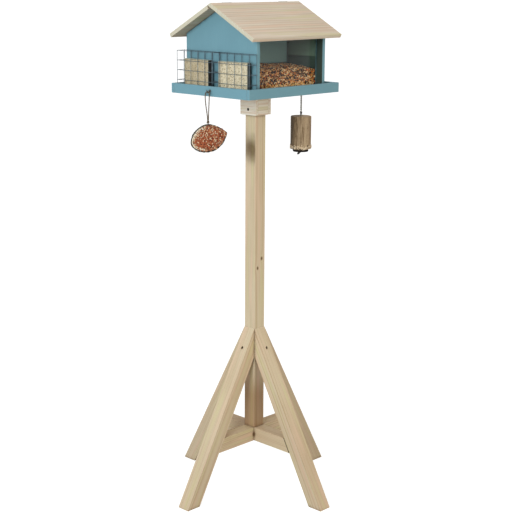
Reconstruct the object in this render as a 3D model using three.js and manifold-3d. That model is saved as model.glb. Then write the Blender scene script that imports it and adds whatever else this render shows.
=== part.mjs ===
// A wooden bird table. A square post stands on a cross of two timbers between four raking legs.
// It carries a tray with low rims and a seed house with clear panes and a roof that lifts at the
// back. Two wire cages hold suet cakes, half a coconut hangs on twine and a seed log on wire.
// Millimetres, +Z up. The origin is on the ground under the post and the ridge runs along X.
import * as THREE from 'three';
import { mergeVertices } from 'three/addons/utils/BufferGeometryUtils.js';
import Module from 'manifold-3d';

const wasm = await Module();
wasm.setup();

const { degToRad } = THREE.MathUtils;

// Clearances
const gap = 0.3; // between faces that meet
const overrun = 2; // how far a cut runs past the face that it opens

// Stand
const postWidth = 40;
const legWidth = 40;
const legDepth = 40;
const footReach = 286.6; // from the post's axis to the toe of a leg
const legTipHeight = 485.8;
const braceTop = 181;
const braceDepth = 40;
const braceWidth = 40;
const trayBase = 1167; // underside of the tray above the ground

// Screws and dowels
const screwRadius = 2;
const screwHeadRadius = 4;
const screwHeadHeight = 3;
const legScrewDrop = 55.8; // below the leg's tip
const legScrewBury = 8; // head below the leg's raking face
const legScrewBite = 13; // length in the post
const footScrewBury = 10;
const footScrewBite = 45;
const floorScrewBite = 40;
const collarScrewBite = 14;
const collarScrewRise = 16; // above the collar's lower edge
const dowelRadius = 4;
const dowelBite = 22; // length in each timber

// Collar
const collarThickness = 10;
const collarHeight = 61.5;

// Tray
const trayLength = 357.3;
const trayWidth = 305;
const rimHeight = 27;
const rimThickness = 10;
const floorThickness = 9;

// Seed house
const houseLength = 270.4;
const houseWidth = 274.4;
const gableThickness = 11;
const vergeOverhang = 39.8; // of the roof past each gable
const eaveOverhang = 25.9; // of the roof past the sides of the house, measured level
const roofThickness = 11;
const ridgeRise = 247.6; // above the tray's underside
const roofPitch = degToRad(28.07);
const lidJoint = 0.6; // open joint between the two slopes
const paneThickness = 3;
const paneSetback = 24.2; // behind the gable's edges
const paneLift = 15; // above the tray's floor
const grooveDepth = 5;

// Seed
const seedEdgeHeight = 64; // above the floor, at the panes
const seedMoundRise = 11; // of the middle over the edges
const seedShares = [[1, 0.6], [0.5, 0.95], [0, 1], [-0.5, 0.7], [-1, 0]]; // of the half width and rise
const spillEdgeDrop = 5; // of the spilled seed towards the rim
const spillOverlap = 6; // of the spilled seed under the filling
const spillNearShare = 0.94; // of half the clear length, towards the cages
const spillFarShare = 0.84;

// Ridge hinges
const hingeLength = 36;
const hingeSpread = 110; // from the middle of the roof
const knuckleRadius = 2.4;
const hingePinRadius = 1;
const leafThickness = 1.2;
const ridgeLeafMargin = 1.6; // from the leaf to the ridge
const lidLeafWidth = 18;
const pinEnd = 0.5; // of the pin past the knuckles
const knuckleCount = 3;

// Suet cages
const cageWire = 1.4; // wire thickness
const cageColumns = 5;
const cageRows = 4;
const cagePlay = 1.4; // beside each cage
const cageSlack = 4; // behind each cage
const cageRowHeight = 26.6;
const stapleWire = 1.2;
const stapleBite = 6;
const stapleRise = 11; // above the tray's floor

// Suet cakes in their dishes
const suetSidePlay = 36; // left over in the cage's width
const suetFacePlay = 5.5; // left over in its depth when the dish stands askew
const suetTurn = degToRad(4);
const suetHeight = 84;
const dishWall = 1;
const cakeProud = 0.6;

// Cup hooks
const hookWire = 2.5;
const hookRise = 15; // above the tray's underside
const hookBite = 7;
const hookNeck = 3.5; // straight wire outside the rim
const hookBend = 4.5;
const hookAside = 3; // from the middle of the rim, towards the front
const hookTip = 4;
const hookBendSteps = 8;
const hookSteps = 22;
const hookSides = 8;
const hookFlangeRadius = 4;
const hookFlangeThickness = 1;

// Half coconut. Its own frame has X along the nut, Y across it and Z out of the open face.
const nutHalfLength = 53;
const nutRadius = 38;
const nutPointShare = 1.22; // 1 is an ellipse, more is more pointed
const shellWall = 3;
const fleshWall = 8;
const fleshDrop = 0.6;
const fillDrop = 2;
const hangAlong = 14; // where the twine goes through the shell
const hangDepth = 6;
const balanceDepth = 13.9; // where the nut balances, behind its open face
const nutFacing = degToRad(235);
const nutDrop = 85; // from the hook to the hole in the shell
const knotRadius = 4;
const knotHeight = 8;
const knotStemRadius = 1.5;
const knotFoot = 3; // below the flesh

// Twine
const twineRadius = 1.5;
const twineSlack = 0.5; // under the loop on the hook
const twineSteps = 44;

// Seed log on its wire
const logRadius = 30.5;
const logHeight = 98;
const logChamfer = 3.5;
const logDrop = 92; // from the hook to its top
const logWireRadius = 1.4;
const logBore = 2.2;
const eyeRadius = 5.5;
const washerRadius = 23;
const washerThickness = 4.5;
const wireTail = 13; // bent sideways under the washer
const wireTailDrop = 11;

// Facets
const roundSides = 16;
const wireSides = 6;
const nutSides = 24;
const nutSteps = 12;

// Finishes
function finish(color, roughness, metalness = 0) {
  return new THREE.MeshStandardMaterial({ color, roughness, metalness });
}
const pine = finish(0xd8c19a, 0.75);
const paint = finish(0x76a3b2, 0.6);
const roofPine = finish(0xd9c8ad, 0.75);
const clearSheet = finish(0xdfeaea, 0.08);
const zinc = finish(0x9a9a94, 0.4, 1);
const darkSteel = finish(0x3a3630, 0.4, 1);
const cageSteel = finish(0x4f7f8e, 0.45);
const seedMix = finish(0x9c7440, 0.85);
const suetFat = finish(0xcdbd97, 0.8);
const blackPlastic = finish(0x1c1c1c, 0.45);
const nutShell = finish(0x3b281b, 0.85);
const nutFlesh = finish(0xe2d3b9, 0.7);
const nutFill = finish(0x8d3f1f, 0.8);
const jute = finish(0x8d7350, 0.95);
const logCrumb = finish(0x8f7556, 0.9);
const galvanised = finish(0xa9acad, 0.35, 1);
clearSheet.transparent = true;
clearSheet.opacity = 0.35;

const birdTable = new THREE.Group();

function add(parent, name, geometry, material) {
  const mesh = new THREE.Mesh(geometry, material);
  mesh.name = name;
  parent.add(mesh);
  return mesh;
}

// A closed mesh as a solid, and a solid as a mesh again
function solid(geometry) {
  const bare = geometry.clone();
  bare.deleteAttribute('normal');
  bare.deleteAttribute('uv');
  const merged = mergeVertices(bare);
  return new wasm.Manifold(new wasm.Mesh({
    numProp: 3,
    vertProperties: new Float32Array(merged.attributes.position.array),
    triVerts: new Uint32Array(merged.index.array),
  }));
}

function skin(body) {
  const mesh = body.getMesh();
  const geometry = new THREE.BufferGeometry();
  geometry.setAttribute('position', new THREE.BufferAttribute(mesh.vertProperties, 3));
  geometry.setIndex(new THREE.BufferAttribute(mesh.triVerts, 1));
  geometry.computeVertexNormals();
  return geometry;
}

function cut(geometry, ...cutters) {
  return skin(cutters.reduce((body, cutter) => body.subtract(solid(cutter)), solid(geometry)));
}

function join(...geometries) {
  return skin(geometries.map(solid).reduce((body, other) => body.add(other)));
}

// A box between two corners
function block(low, high) {
  const size = high.map((value, axis) => value - low[axis]);
  const centre = high.map((value, axis) => (value + low[axis]) / 2);
  return new THREE.BoxGeometry(...size).translate(...centre);
}

const axisX = new THREE.Vector3(1, 0, 0);
const axisY = new THREE.Vector3(0, 1, 0);
const axisZ = new THREE.Vector3(0, 0, 1);

function outline(points) {
  return new THREE.Shape(points.map(([across, up]) => new THREE.Vector2(across, up)));
}

// A Y-Z outline drawn out between two X positions
function alongX(points, from, to) {
  const geometry = new THREE.ExtrudeGeometry(outline(points), { depth: to - from, bevelEnabled: false });
  geometry.applyMatrix4(new THREE.Matrix4().makeBasis(axisY, axisZ, axisX));
  return geometry.translate(from, 0, 0);
}

// An X-Z outline drawn out to a width along Y
function alongY(points, width) {
  const geometry = new THREE.ExtrudeGeometry(outline(points), { depth: width, bevelEnabled: false });
  geometry.applyMatrix4(new THREE.Matrix4().makeBasis(axisX, axisZ, axisY.clone().negate()));
  return geometry.translate(0, width / 2, 0);
}

// A rod from one point to another
function rod(radius, from, to, sides = roundSides) {
  const start = new THREE.Vector3(...from);
  const run = new THREE.Vector3(...to).sub(start);
  const geometry = new THREE.CylinderGeometry(radius, radius, run.length(), sides);
  geometry.applyQuaternion(new THREE.Quaternion().setFromUnitVectors(axisY, run.clone().normalize()));
  return geometry.translate(...start.addScaledVector(run, 1 / 2));
}

// A turned piece about Z from its profile of radius and height
function turned(profile, sides = roundSides) {
  const points = profile.map(([radius, height]) => new THREE.Vector2(radius, height));
  return new THREE.LatheGeometry(points, sides).rotateX(Math.PI / 2);
}

// A tube of round section along a curve
function tube(curve, radius, steps, sides) {
  const section = new THREE.Shape();
  for (let side = 0; side < sides; side += 1) {
    const angle = (side / sides) * 2 * Math.PI;
    const point = [radius * Math.cos(angle), radius * Math.sin(angle)];
    if (side === 0) section.moveTo(...point);
    else section.lineTo(...point);
  }
  return new THREE.ExtrudeGeometry(section, { steps, extrudePath: curve });
}

// A countersunk screw with the top of its head at the origin and its point down
function screw(length) {
  return turned([
    [0, -length],
    [screwRadius, screwRadius - length],
    [screwRadius, -screwHeadHeight],
    [screwHeadRadius, 0],
    [0, 0],
  ]);
}

// The hole for such a screw, open above its head by a given depth
function screwHole(length, depth) {
  const shank = screwRadius + gap;
  const head = screwHeadRadius + gap;
  return turned([
    [0, -length - gap],
    [shank, -length - gap],
    [shank, -screwHeadHeight - gap],
    [head, 0],
    [head, depth + overrun],
    [0, depth + overrun],
  ]);
}

const outward = new THREE.Matrix4().makeRotationY(Math.PI / 2); // turns the head to face +X

// Stand, each leg in a frame with X along its reach
const postHalf = postWidth / 2;
const legLean = (footReach - postHalf - gap) / legTipHeight;
const legCut = legDepth * Math.hypot(1, legLean); // level cut through a raking leg
const toeAt = (height) => footReach - legLean * height;
const heelAt = (height) => toeAt(height) - legCut;
const braceBase = braceTop - braceDepth;
const braceMiddle = braceTop - braceDepth / 2;
const postFoot = braceTop + gap;
const postHead = trayBase - gap;
const legScrewHeight = legTipHeight - legScrewDrop;
const legScrewHead = toeAt(legScrewHeight) - legScrewBury;
const legScrewLength = legScrewHead - postHalf + legScrewBite;
const dowelMiddle = heelAt(braceMiddle) - gap / 2;
const footScrewLength = postFoot - braceBase - footScrewBury + footScrewBite;

function quarterTurn(index) {
  return new THREE.Matrix4().makeRotationZ((index * Math.PI) / 2);
}

function legScrewHole() {
  return screwHole(legScrewLength, legScrewBury).applyMatrix4(outward)
    .translate(legScrewHead, 0, legScrewHeight);
}

function dowelHole() {
  const reach = dowelBite + gap;
  return rod(dowelRadius + gap, [dowelMiddle - reach, 0, braceMiddle], [dowelMiddle + reach, 0, braceMiddle]);
}

function leg() {
  const heelTop = (footReach - legCut - postHalf - gap) / legLean;
  const side = [
    [toeAt(0), 0],
    [postHalf + gap, legTipHeight],
    [postHalf + gap, heelTop],
    [heelAt(0), 0],
  ];
  return cut(alongY(side, legWidth), legScrewHole(), dowelHole());
}

function footScrewHole() {
  return screwHole(footScrewLength, footScrewBury).rotateX(Math.PI)
    .translate(0, 0, braceBase + footScrewBury);
}

// One timber of the cross, lapped over or under the other at its middle
function brace(over) {
  const side = [
    [-heelAt(braceBase) + gap, braceBase],
    [heelAt(braceBase) - gap, braceBase],
    [heelAt(braceTop) - gap, braceTop],
    [-heelAt(braceTop) + gap, braceTop],
  ];
  const reach = braceWidth / 2 + gap;
  const from = over ? braceBase - overrun : braceMiddle - gap / 2;
  const to = over ? braceMiddle + gap / 2 : braceTop + overrun;
  const lap = block([-reach, -reach, from], [reach, reach, to]);
  return cut(
    alongY(side, braceWidth),
    lap,
    dowelHole(),
    dowelHole().applyMatrix4(quarterTurn(2)),
    footScrewHole(),
  );
}

const collarInner = postHalf + gap;
const collarOuter = collarInner + collarThickness;
const collarTop = trayBase - gap;
const collarFoot = collarTop - collarHeight;
const collarScrewHeight = collarFoot + collarScrewRise;
const collarScrewLength = collarOuter - postHalf + collarScrewBite;

function collarScrewHole() {
  return screwHole(collarScrewLength, 0).applyMatrix4(outward).translate(collarOuter, 0, collarScrewHeight);
}

const floorTop = trayBase + floorThickness;
const floorScrewLength = floorTop - postHead + floorScrewBite;

function floorScrewHole() {
  return screwHole(floorScrewLength, 0).translate(0, 0, floorTop);
}

function post() {
  const body = block([-postHalf, -postHalf, postFoot], [postHalf, postHalf, postHead]);
  const legHoles = [0, 1, 2, 3].map((index) => legScrewHole().applyMatrix4(quarterTurn(index)));
  const collarHoles = [0, 2].map((index) => collarScrewHole().applyMatrix4(quarterTurn(index)));
  return cut(body, ...legHoles, ...collarHoles, floorScrewHole(), footScrewHole());
}

const stand = new THREE.Group();
birdTable.add(stand);
add(stand, 'post', post(), pine);
add(stand, 'brace_lower', brace(false), pine);
add(stand, 'brace_upper', brace(true), pine).rotation.z = Math.PI / 2;
add(stand, 'post_foot_screw', screw(footScrewLength).rotateX(Math.PI), zinc)
  .position.set(0, 0, braceBase + footScrewBury);

const legNames = ['right', 'back', 'left', 'front'];
legNames.forEach((side, index) => {
  const quarter = new THREE.Group();
  quarter.rotation.z = (index * Math.PI) / 2;
  stand.add(quarter);
  add(quarter, `leg_${side}`, leg(), pine);
  const legScrew = add(quarter, `leg_screw_${side}`, screw(legScrewLength).applyMatrix4(outward), zinc);
  legScrew.position.set(legScrewHead, 0, legScrewHeight);
  const dowel = rod(dowelRadius, [-dowelBite, 0, 0], [dowelBite, 0, 0]);
  add(quarter, `brace_dowel_${side}`, dowel, pine).position.set(dowelMiddle, 0, braceMiddle);
  const faces = index % 2 === 0;
  const half = faces ? collarOuter : collarInner - gap;
  const board = block([collarInner, -half, collarFoot], [collarOuter, half, collarTop]);
  add(quarter, `collar_${side}`, faces ? cut(board, collarScrewHole()) : board, pine);
  if (!faces) return;
  add(quarter, `collar_screw_${side}`, screw(collarScrewLength).applyMatrix4(outward), zinc)
    .position.set(collarOuter, 0, collarScrewHeight);
});

// Tray
const trayHalfLength = trayLength / 2;
const trayHalfWidth = trayWidth / 2;
const rimTop = trayBase + rimHeight;
const wellHalfLength = trayHalfLength - rimThickness;
const wellHalfWidth = trayHalfWidth - rimThickness;
const tray = new THREE.Group();
birdTable.add(tray);

const floorBoard = block(
  [gap - wellHalfLength, gap - wellHalfWidth, trayBase],
  [wellHalfLength - gap, wellHalfWidth - gap, floorTop],
);
add(tray, 'tray_floor', cut(floorBoard, floorScrewHole()), paint);
add(tray, 'floor_screw', screw(floorScrewLength), zinc).position.z = floorTop;

const longRim = block([-trayHalfLength, wellHalfWidth, trayBase], [trayHalfLength, trayHalfWidth, rimTop]);
add(tray, 'rim_back', longRim, paint);
add(tray, 'rim_front', longRim, paint).rotation.z = Math.PI;

const shortRimHalf = wellHalfWidth - gap;
const shortRim = block([wellHalfLength, -shortRimHalf, trayBase], [trayHalfLength, shortRimHalf, rimTop]);

// Cages along the left rim, two side by side, in a frame with X out of the tray
const wireRadius = cageWire / 2;
const cageSeat = wireRadius + gap; // from a wire's middle to what it touches
const cageTrough = wellHalfLength - houseLength / 2;
const cageDepth = cageTrough - cageSlack - gap - cageWire;
const cageWidth = wellHalfWidth - 1.5 * cagePlay - cageWire;
const cageHeight = cageRows * cageRowHeight;
const cageFoot = floorTop + cageSeat;
const cageFront = wellHalfLength - cageSeat;
const cageMiddle = cageFront - cageDepth / 2;
const cageSide = (cageWidth + cageWire + cagePlay) / 2;
const columnPitch = cageWidth / cageColumns;
const stapleSide = cageSide - columnPitch / 2;
const stapleHalf = cageSeat + stapleWire;
const stapleHeight = floorTop + stapleRise;

function stapleHole(side, prong) {
  const y = side * stapleSide + prong * stapleHalf;
  const radius = stapleWire / 2 + gap;
  return rod(
    radius,
    [wellHalfLength - overrun, y, stapleHeight],
    [wellHalfLength + stapleBite + gap, y, stapleHeight],
  );
}

// A cup hook in the middle of the rim, in the same frame
const hookHeight = trayBase + hookRise;
const hookRoot = trayHalfLength - hookBite;
const hookBendStart = trayHalfLength + hookNeck;
const hookSeat = hookBendStart + hookBend;
const hookRadius = hookWire / 2;
const hookSeatTop = hookHeight - hookBend + hookRadius;

function hook() {
  const at = (x, z) => new THREE.Vector3(x, 0, z);
  const points = [at(hookRoot, hookHeight), at((hookRoot + hookBendStart) / 2, hookHeight)];
  for (let step = 0; step <= hookBendSteps; step += 1) {
    const angle = Math.PI * (step / hookBendSteps);
    points.push(at(hookSeat - hookBend * Math.cos(angle), hookHeight - hookBend * Math.sin(angle)));
  }
  points.push(at(hookSeat + hookBend, hookHeight + hookTip));
  const wire = tube(new THREE.CatmullRomCurve3(points), hookRadius, hookSteps, hookSides);
  const flange = rod(
    hookFlangeRadius,
    [trayHalfLength + gap, 0, hookHeight],
    [trayHalfLength + gap + hookFlangeThickness, 0, hookHeight],
  );
  return join(wire, flange);
}

const hookHole = rod(
  hookRadius + gap,
  [hookRoot - gap, 0, hookHeight],
  [trayHalfLength + overrun, 0, hookHeight],
);

const ends = { right: 0, left: Math.PI };
const endGroups = {};
for (const [side, turn] of Object.entries(ends)) {
  const end = new THREE.Group();
  end.rotation.z = turn;
  birdTable.add(end);
  endGroups[side] = end;
  const aside = side === 'left' ? hookAside : -hookAside;
  const holes = [hookHole.clone().translate(0, aside, 0)];
  if (side === 'left') {
    for (const cageEnd of [-1, 1]) holes.push(stapleHole(cageEnd, -1), stapleHole(cageEnd, 1));
  }
  add(end, `rim_${side}`, cut(shortRim, ...holes), paint);
  add(end, `hook_${side}`, hook(), darkSteel).position.y = aside;
}

// Seed house. Heights on the slopes follow from the ridge and the pitch.
const ridgeHeight = trayBase + ridgeRise;
const roofCos = Math.cos(roofPitch);
const roofSin = Math.sin(roofPitch);
const roofTan = roofSin / roofCos;
const roofHalfSpan = houseWidth / 2 + eaveOverhang;
const roofHalfLength = houseLength / 2 + vergeOverhang;
const gablePeak = ridgeHeight - (roofThickness + gap) / roofCos;
const underRoofAt = (y) => gablePeak - roofTan * Math.abs(y);
const gableOuter = houseLength / 2;
const gableInner = gableOuter - gableThickness;
const houseHalfWidth = houseWidth / 2;
const houseFoot = floorTop + gap;
const paneMiddle = houseHalfWidth - paneSetback;
const paneHalf = paneThickness / 2;
const paneFoot = floorTop + paneLift;

function gable() {
  const points = [
    [-houseHalfWidth, houseFoot],
    [houseHalfWidth, houseFoot],
    [houseHalfWidth, underRoofAt(houseHalfWidth)],
    [0, gablePeak],
    [-houseHalfWidth, underRoofAt(houseHalfWidth)],
  ];
  const grooves = [-1, 1].map((side) => block(
    [gableInner - overrun, side * paneMiddle - paneHalf - gap, paneFoot - gap],
    [gableInner + grooveDepth, side * paneMiddle + paneHalf + gap, ridgeHeight],
  ));
  return cut(alongX(points, gableInner, gableOuter), ...grooves);
}

function pane() {
  const half = gableInner + grooveDepth - gap;
  return block(
    [-half, paneMiddle - paneHalf, paneFoot],
    [half, paneMiddle + paneHalf, underRoofAt(paneMiddle + paneHalf)],
  );
}

// The filling between the panes, and what has run out under them into the tray
function seedFill() {
  const inner = paneMiddle - paneHalf - gap;
  const edge = floorTop + seedEdgeHeight;
  const mound = seedShares.map(([across, rise]) => [across * inner, edge + rise * seedMoundRise]);
  const filling = alongX(
    [[-inner, houseFoot], [inner, houseFoot], ...mound],
    gap - gableInner,
    gableInner - gap,
  );
  const spillTop = paneFoot - gap;
  const rimSide = wellHalfWidth - gap;
  const spill = [
    [inner - spillOverlap, houseFoot],
    [rimSide, houseFoot],
    [rimSide, spillTop - spillEdgeDrop],
    [paneMiddle + paneHalf, spillTop],
    [inner - spillOverlap, spillTop],
  ];
  const near = -gableInner * spillNearShare;
  const far = gableInner * spillFarShare;
  const back = spill.map(([y, z]) => [-y, z]).reverse();
  return join(filling, alongX(spill, near, far), alongX(back, near, far));
}

// The fixed slope runs on past the ridge to the plane of the lid, where the hinges sit
const slopeStart = roofThickness / Math.sin(2 * roofPitch);
const slopeEnd = roofHalfSpan / roofCos;
const onLid = (along, out) => [along * roofCos + out * roofSin, ridgeHeight - along * roofSin + out * roofCos];

function fixedSlope() {
  const [eave, eaveHeight] = onLid(slopeEnd, 0);
  const [lowEave, lowEaveHeight] = onLid(slopeEnd, -roofThickness);
  const points = [[-eave, eaveHeight], [-lowEave, lowEaveHeight], onLid(slopeStart, 0), [0, ridgeHeight]];
  return alongX(points, -roofHalfLength, roofHalfLength);
}

function lid() {
  const points = [
    onLid(slopeStart + lidJoint, -roofThickness),
    onLid(slopeEnd, -roofThickness),
    onLid(slopeEnd, 0),
    onLid(slopeStart + lidJoint, 0),
  ];
  return alongX(points, -roofHalfLength, roofHalfLength);
}

const house = new THREE.Group();
birdTable.add(house);
add(house, 'gable_right', gable(), paint);
add(house, 'gable_left', gable(), paint).rotation.z = Math.PI;
add(house, 'pane_back', pane(), clearSheet);
add(house, 'pane_front', pane(), clearSheet).rotation.z = Math.PI;
add(house, 'seed_fill', seedFill(), seedMix);
add(house, 'roof_front', fixedSlope(), roofPine);
add(house, 'roof_lid', lid(), roofPine);

// Ridge hinges, in a frame with X along the pin, Y down the lid and Z out of it
const pinLift = knuckleRadius + gap;
const [pinAcross, pinHeight] = onLid(slopeStart + lidJoint / 2, pinLift);
const knuckleLength = hingeLength / knuckleCount;
const knuckleBore = hingePinRadius + gap;
const leafFoot = -knuckleRadius;
const leafTop = leafFoot + leafThickness;

// One leaf on the side of Y that is given, with the knuckles that it owns
function leaf(side, width, owned) {
  const clear = knuckleRadius + gap;
  const half = hingeLength / 2;
  const parts = [block([-half, Math.min(side * clear, side * width), leafFoot],
    [half, Math.max(side * clear, side * width), leafTop])];
  owned.forEach((index) => {
    const from = index * knuckleLength - half + gap / 2;
    const to = from + knuckleLength - gap;
    const root = side * (clear + leafThickness);
    parts.push(rod(knuckleRadius, [from, 0, 0], [to, 0, 0]));
    parts.push(block([from, Math.min(0, root), leafFoot], [to, Math.max(0, root), leafTop]));
  });
  const through = rod(knuckleBore, [-half - overrun, 0, 0], [half + overrun, 0, 0]);
  return cut(join(...parts), through);
}

const ridgeLeafWidth = slopeStart + lidJoint / 2 - ridgeLeafMargin;
[['left', -1], ['right', 1]].forEach(([place, side]) => {
  const hinge = new THREE.Group();
  hinge.position.set(side * hingeSpread, pinAcross, pinHeight);
  hinge.rotation.x = -roofPitch;
  birdTable.add(hinge);
  add(hinge, `hinge_ridge_leaf_${place}`, leaf(-1, ridgeLeafWidth, [0, 2]), zinc);
  add(hinge, `hinge_lid_leaf_${place}`, leaf(1, lidLeafWidth, [1]), zinc);
  const pinHalf = hingeLength / 2 + pinEnd;
  add(hinge, `hinge_pin_${place}`, rod(hingePinRadius, [-pinHalf, 0, 0], [pinHalf, 0, 0]), zinc);
});

// A cage of welded wire, open at the top, with its foot at the origin
function cage() {
  const x = cageDepth / 2;
  const y = cageWidth / 2;
  const wires = [];
  const wire = (from, to) => wires.push(block(
    from.map((value) => value - wireRadius),
    to.map((value) => value + wireRadius),
  ));
  for (let row = 0; row <= cageRows; row += 1) {
    const z = row * cageRowHeight;
    for (const end of [-1, 1]) {
      wire([end * x, -y, z], [end * x, y, z]);
      wire([-x, end * y, z], [x, end * y, z]);
    }
  }
  for (let column = 0; column <= cageColumns; column += 1) {
    const across = column * columnPitch - y;
    for (const end of [-1, 1]) {
      wire([end * x, across, 0], [end * x, across, cageHeight]);
    }
    if (column > 0 && column < cageColumns) {
      wire([-x, across, 0], [x, across, 0]);
    }
  }
  return join(...wires);
}

// A wire staple round an upright of the cage, its legs in the rim
function staple() {
  const radius = stapleWire / 2;
  const crown = -cageSeat - radius;
  const back = cageSeat + stapleBite;
  const bar = rod(radius, [crown, -stapleHalf - radius, 0], [crown, stapleHalf + radius, 0], wireSides);
  const legs = [-1, 1].map((side) => rod(
    radius,
    [crown - radius, side * stapleHalf, 0],
    [back, side * stapleHalf, 0],
    wireSides,
  ));
  return join(bar, ...legs);
}

// The dish and its cake, with the open side to X and the foot at the origin
const suetWidth = cageWidth - suetSidePlay;
const suetRoom = cageDepth - cageWire - suetFacePlay - cakeProud;
const suetDepth = (suetRoom - suetWidth * Math.sin(suetTurn)) / Math.cos(suetTurn);

function dish() {
  const x = suetDepth / 2;
  const y = suetWidth / 2;
  return cut(
    block([-x, -y, 0], [x, y, suetHeight]),
    block([dishWall - x, dishWall - y, dishWall], [x + overrun, y - dishWall, suetHeight - dishWall]),
  );
}

function cake() {
  const wall = dishWall + gap;
  const x = suetDepth / 2;
  const y = suetWidth / 2 - wall;
  return block([wall - x, -y, wall], [x + cakeProud, y, suetHeight - wall]);
}

[['back', -1], ['front', 1]].forEach(([place, side]) => {
  const pocket = new THREE.Group();
  pocket.position.set(cageMiddle, side * cageSide, cageFoot);
  endGroups.left.add(pocket);
  add(pocket, `cage_${place}`, cage(), cageSteel);
  const askew = new THREE.Group();
  askew.position.z = cageSeat;
  askew.rotation.z = side * suetTurn;
  pocket.add(askew);
  add(askew, `suet_dish_${place}`, dish(), blackPlastic);
  add(askew, `suet_cake_${place}`, cake(), suetFat);
  add(endGroups.left, `cage_staple_${place}`, staple(), zinc)
    .position.set(cageFront, side * stapleSide, stapleHeight);
});

// Half coconut, made in its own frame
function nutSolid(halfLength, radius) {
  const profile = [];
  for (let step = 0; step <= nutSteps; step += 1) {
    const angle = Math.PI * (step / nutSteps - 1 / 2);
    const middle = step > 0 && step < nutSteps;
    const share = middle ? Math.cos(angle) ** nutPointShare : 0;
    profile.push(new THREE.Vector2(radius * share, halfLength * Math.sin(angle)));
  }
  return new THREE.LatheGeometry(profile, nutSides).rotateZ(-Math.PI / 2);
}

function below(height) {
  const reach = nutHalfLength + overrun;
  return block([-reach, -reach, -reach], [reach, reach, -height]);
}

function nutLayer(inset, wall, drop) {
  const outer = solid(nutSolid(nutHalfLength - inset, nutRadius - inset)).intersect(solid(below(drop)));
  if (wall === 0) return outer;
  return outer.subtract(solid(nutSolid(nutHalfLength - inset - wall, nutRadius - inset - wall)));
}

// Where the twine goes through the shell, and the way up when the nut hangs there
const nutShareAt = (along) => (1 - (along / nutHalfLength) ** 2) ** (nutPointShare / 2);
const hangAcross = Math.sqrt((nutRadius * nutShareAt(hangAlong)) ** 2 - hangDepth ** 2);
const hangPoint = new THREE.Vector3(hangAlong, hangAcross, -hangDepth);
const nutUp = new THREE.Vector3(hangAlong, hangAcross, balanceDepth - hangDepth).normalize();

function nutFrame() {
  const facing = axisZ.clone().projectOnPlane(nutUp).normalize();
  const own = new THREE.Matrix4().makeBasis(facing, nutUp.clone().cross(facing), nutUp);
  const forward = new THREE.Vector3(Math.cos(nutFacing), Math.sin(nutFacing), 0);
  return new THREE.Matrix4().makeBasis(forward, axisZ.clone().cross(forward), axisZ)
    .multiply(own.transpose());
}

// The knot stands on the shell, its stem goes down through it and ends in a bead in the filling
const knotSeat = 2 * gap;
function knotProfile(clear) {
  const stem = knotStemRadius + clear;
  const bead = knotRadius + clear;
  const wall = shellWall + fleshWall + 2 * gap;
  return [
    [0, -wall - knotFoot - 2 * knotRadius - clear],
    [bead / 2, -wall - knotFoot - 2 * knotRadius - clear],
    [bead, -wall - knotFoot - knotRadius],
    [stem, -wall - knotFoot + clear],
    [stem, knotSeat - clear],
    [bead, knotSeat + knotHeight / 4],
    [bead, knotSeat + knotHeight],
    [0, knotSeat + knotHeight],
  ];
}

const nut = new THREE.Group();
birdTable.add(nut);
const nutPlace = new THREE.Vector3(-hookSeat, -hookAside, hookSeatTop - nutDrop);
const nutTurn = nutFrame();
const knotHole = turned(knotProfile(gap)).applyQuaternion(
  new THREE.Quaternion().setFromUnitVectors(axisZ, nutUp),
).translate(hangPoint.x, hangPoint.y, hangPoint.z);

function nutPiece(name, body, material) {
  const geometry = skin(body.subtract(solid(knotHole)));
  geometry.translate(-hangPoint.x, -hangPoint.y, -hangPoint.z);
  const mesh = add(nut, name, geometry, material);
  mesh.position.copy(nutPlace);
  mesh.quaternion.setFromRotationMatrix(nutTurn);
}
const fleshInset = shellWall + gap;
const fillInset = fleshInset + fleshWall + gap;
nutPiece('coconut_shell', nutLayer(0, shellWall, 0), nutShell);
nutPiece('coconut_flesh', nutLayer(fleshInset, fleshWall, fleshDrop), nutFlesh);
nutPiece('coconut_fill', nutLayer(fillInset, 0, fillDrop), nutFill);
add(nut, 'twine_knot', turned(knotProfile(0), wireSides * 2), jute).position.copy(nutPlace);

// The twine runs from the knot up over the hook and back, in shares of its rise in Y and Z
const knotTop = nutPlace.z + knotSeat + knotHeight;
const twineFoot = knotTop + gap;
const twineRise = hookSeatTop + twineSlack + twineRadius - twineFoot;
const twineShares = [
  [0.023, 0], [0.024, 0.077], [0.038, 0.179], [0.067, 0.32], [0.1, 0.487], [0.126, 0.653],
  [0.138, 0.781], [0.136, 0.864], [0.118, 0.927], [0.09, 0.969], [0.051, 0.992], [0.006, 1],
  [-0.033, 0.985], [-0.059, 0.945], [-0.067, 0.884], [-0.064, 0.794], [-0.056, 0.653],
  [-0.046, 0.487], [-0.036, 0.32], [-0.027, 0.179], [-0.023, 0.077], [-0.023, 0],
];
const twineCurve = new THREE.CatmullRomCurve3(twineShares.map(([across, up]) => (
  new THREE.Vector3(-hookSeat, across * twineRise - hookAside, up * twineRise + twineFoot)
)));
add(nut, 'twine_loop', tube(twineCurve, twineRadius, twineSteps, hookSides), jute);

// Seed log. Its wire has an eye on the hook and a bent tail that holds the washer.
const eyeMiddle = hookSeatTop + gap + logWireRadius - eyeRadius;
const logTop = hookSeatTop - logDrop;
const logFoot = logTop - logHeight;
const washerTop = logFoot - gap;
const washerFoot = washerTop - washerThickness;
const tailHeight = washerFoot - gap - logWireRadius;

function logBody() {
  return turned([
    [logBore, logTop],
    [logBore, logFoot],
    [logRadius - logChamfer, logFoot],
    [logRadius, logFoot + logChamfer],
    [logRadius, logTop],
    [logBore, logTop],
  ], nutSides);
}

function washer() {
  const hole = logWireRadius + gap;
  return turned([
    [hole, washerTop],
    [hole, washerFoot],
    [washerRadius, washerFoot],
    [washerRadius, washerTop],
    [hole, washerTop],
  ], nutSides);
}

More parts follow.
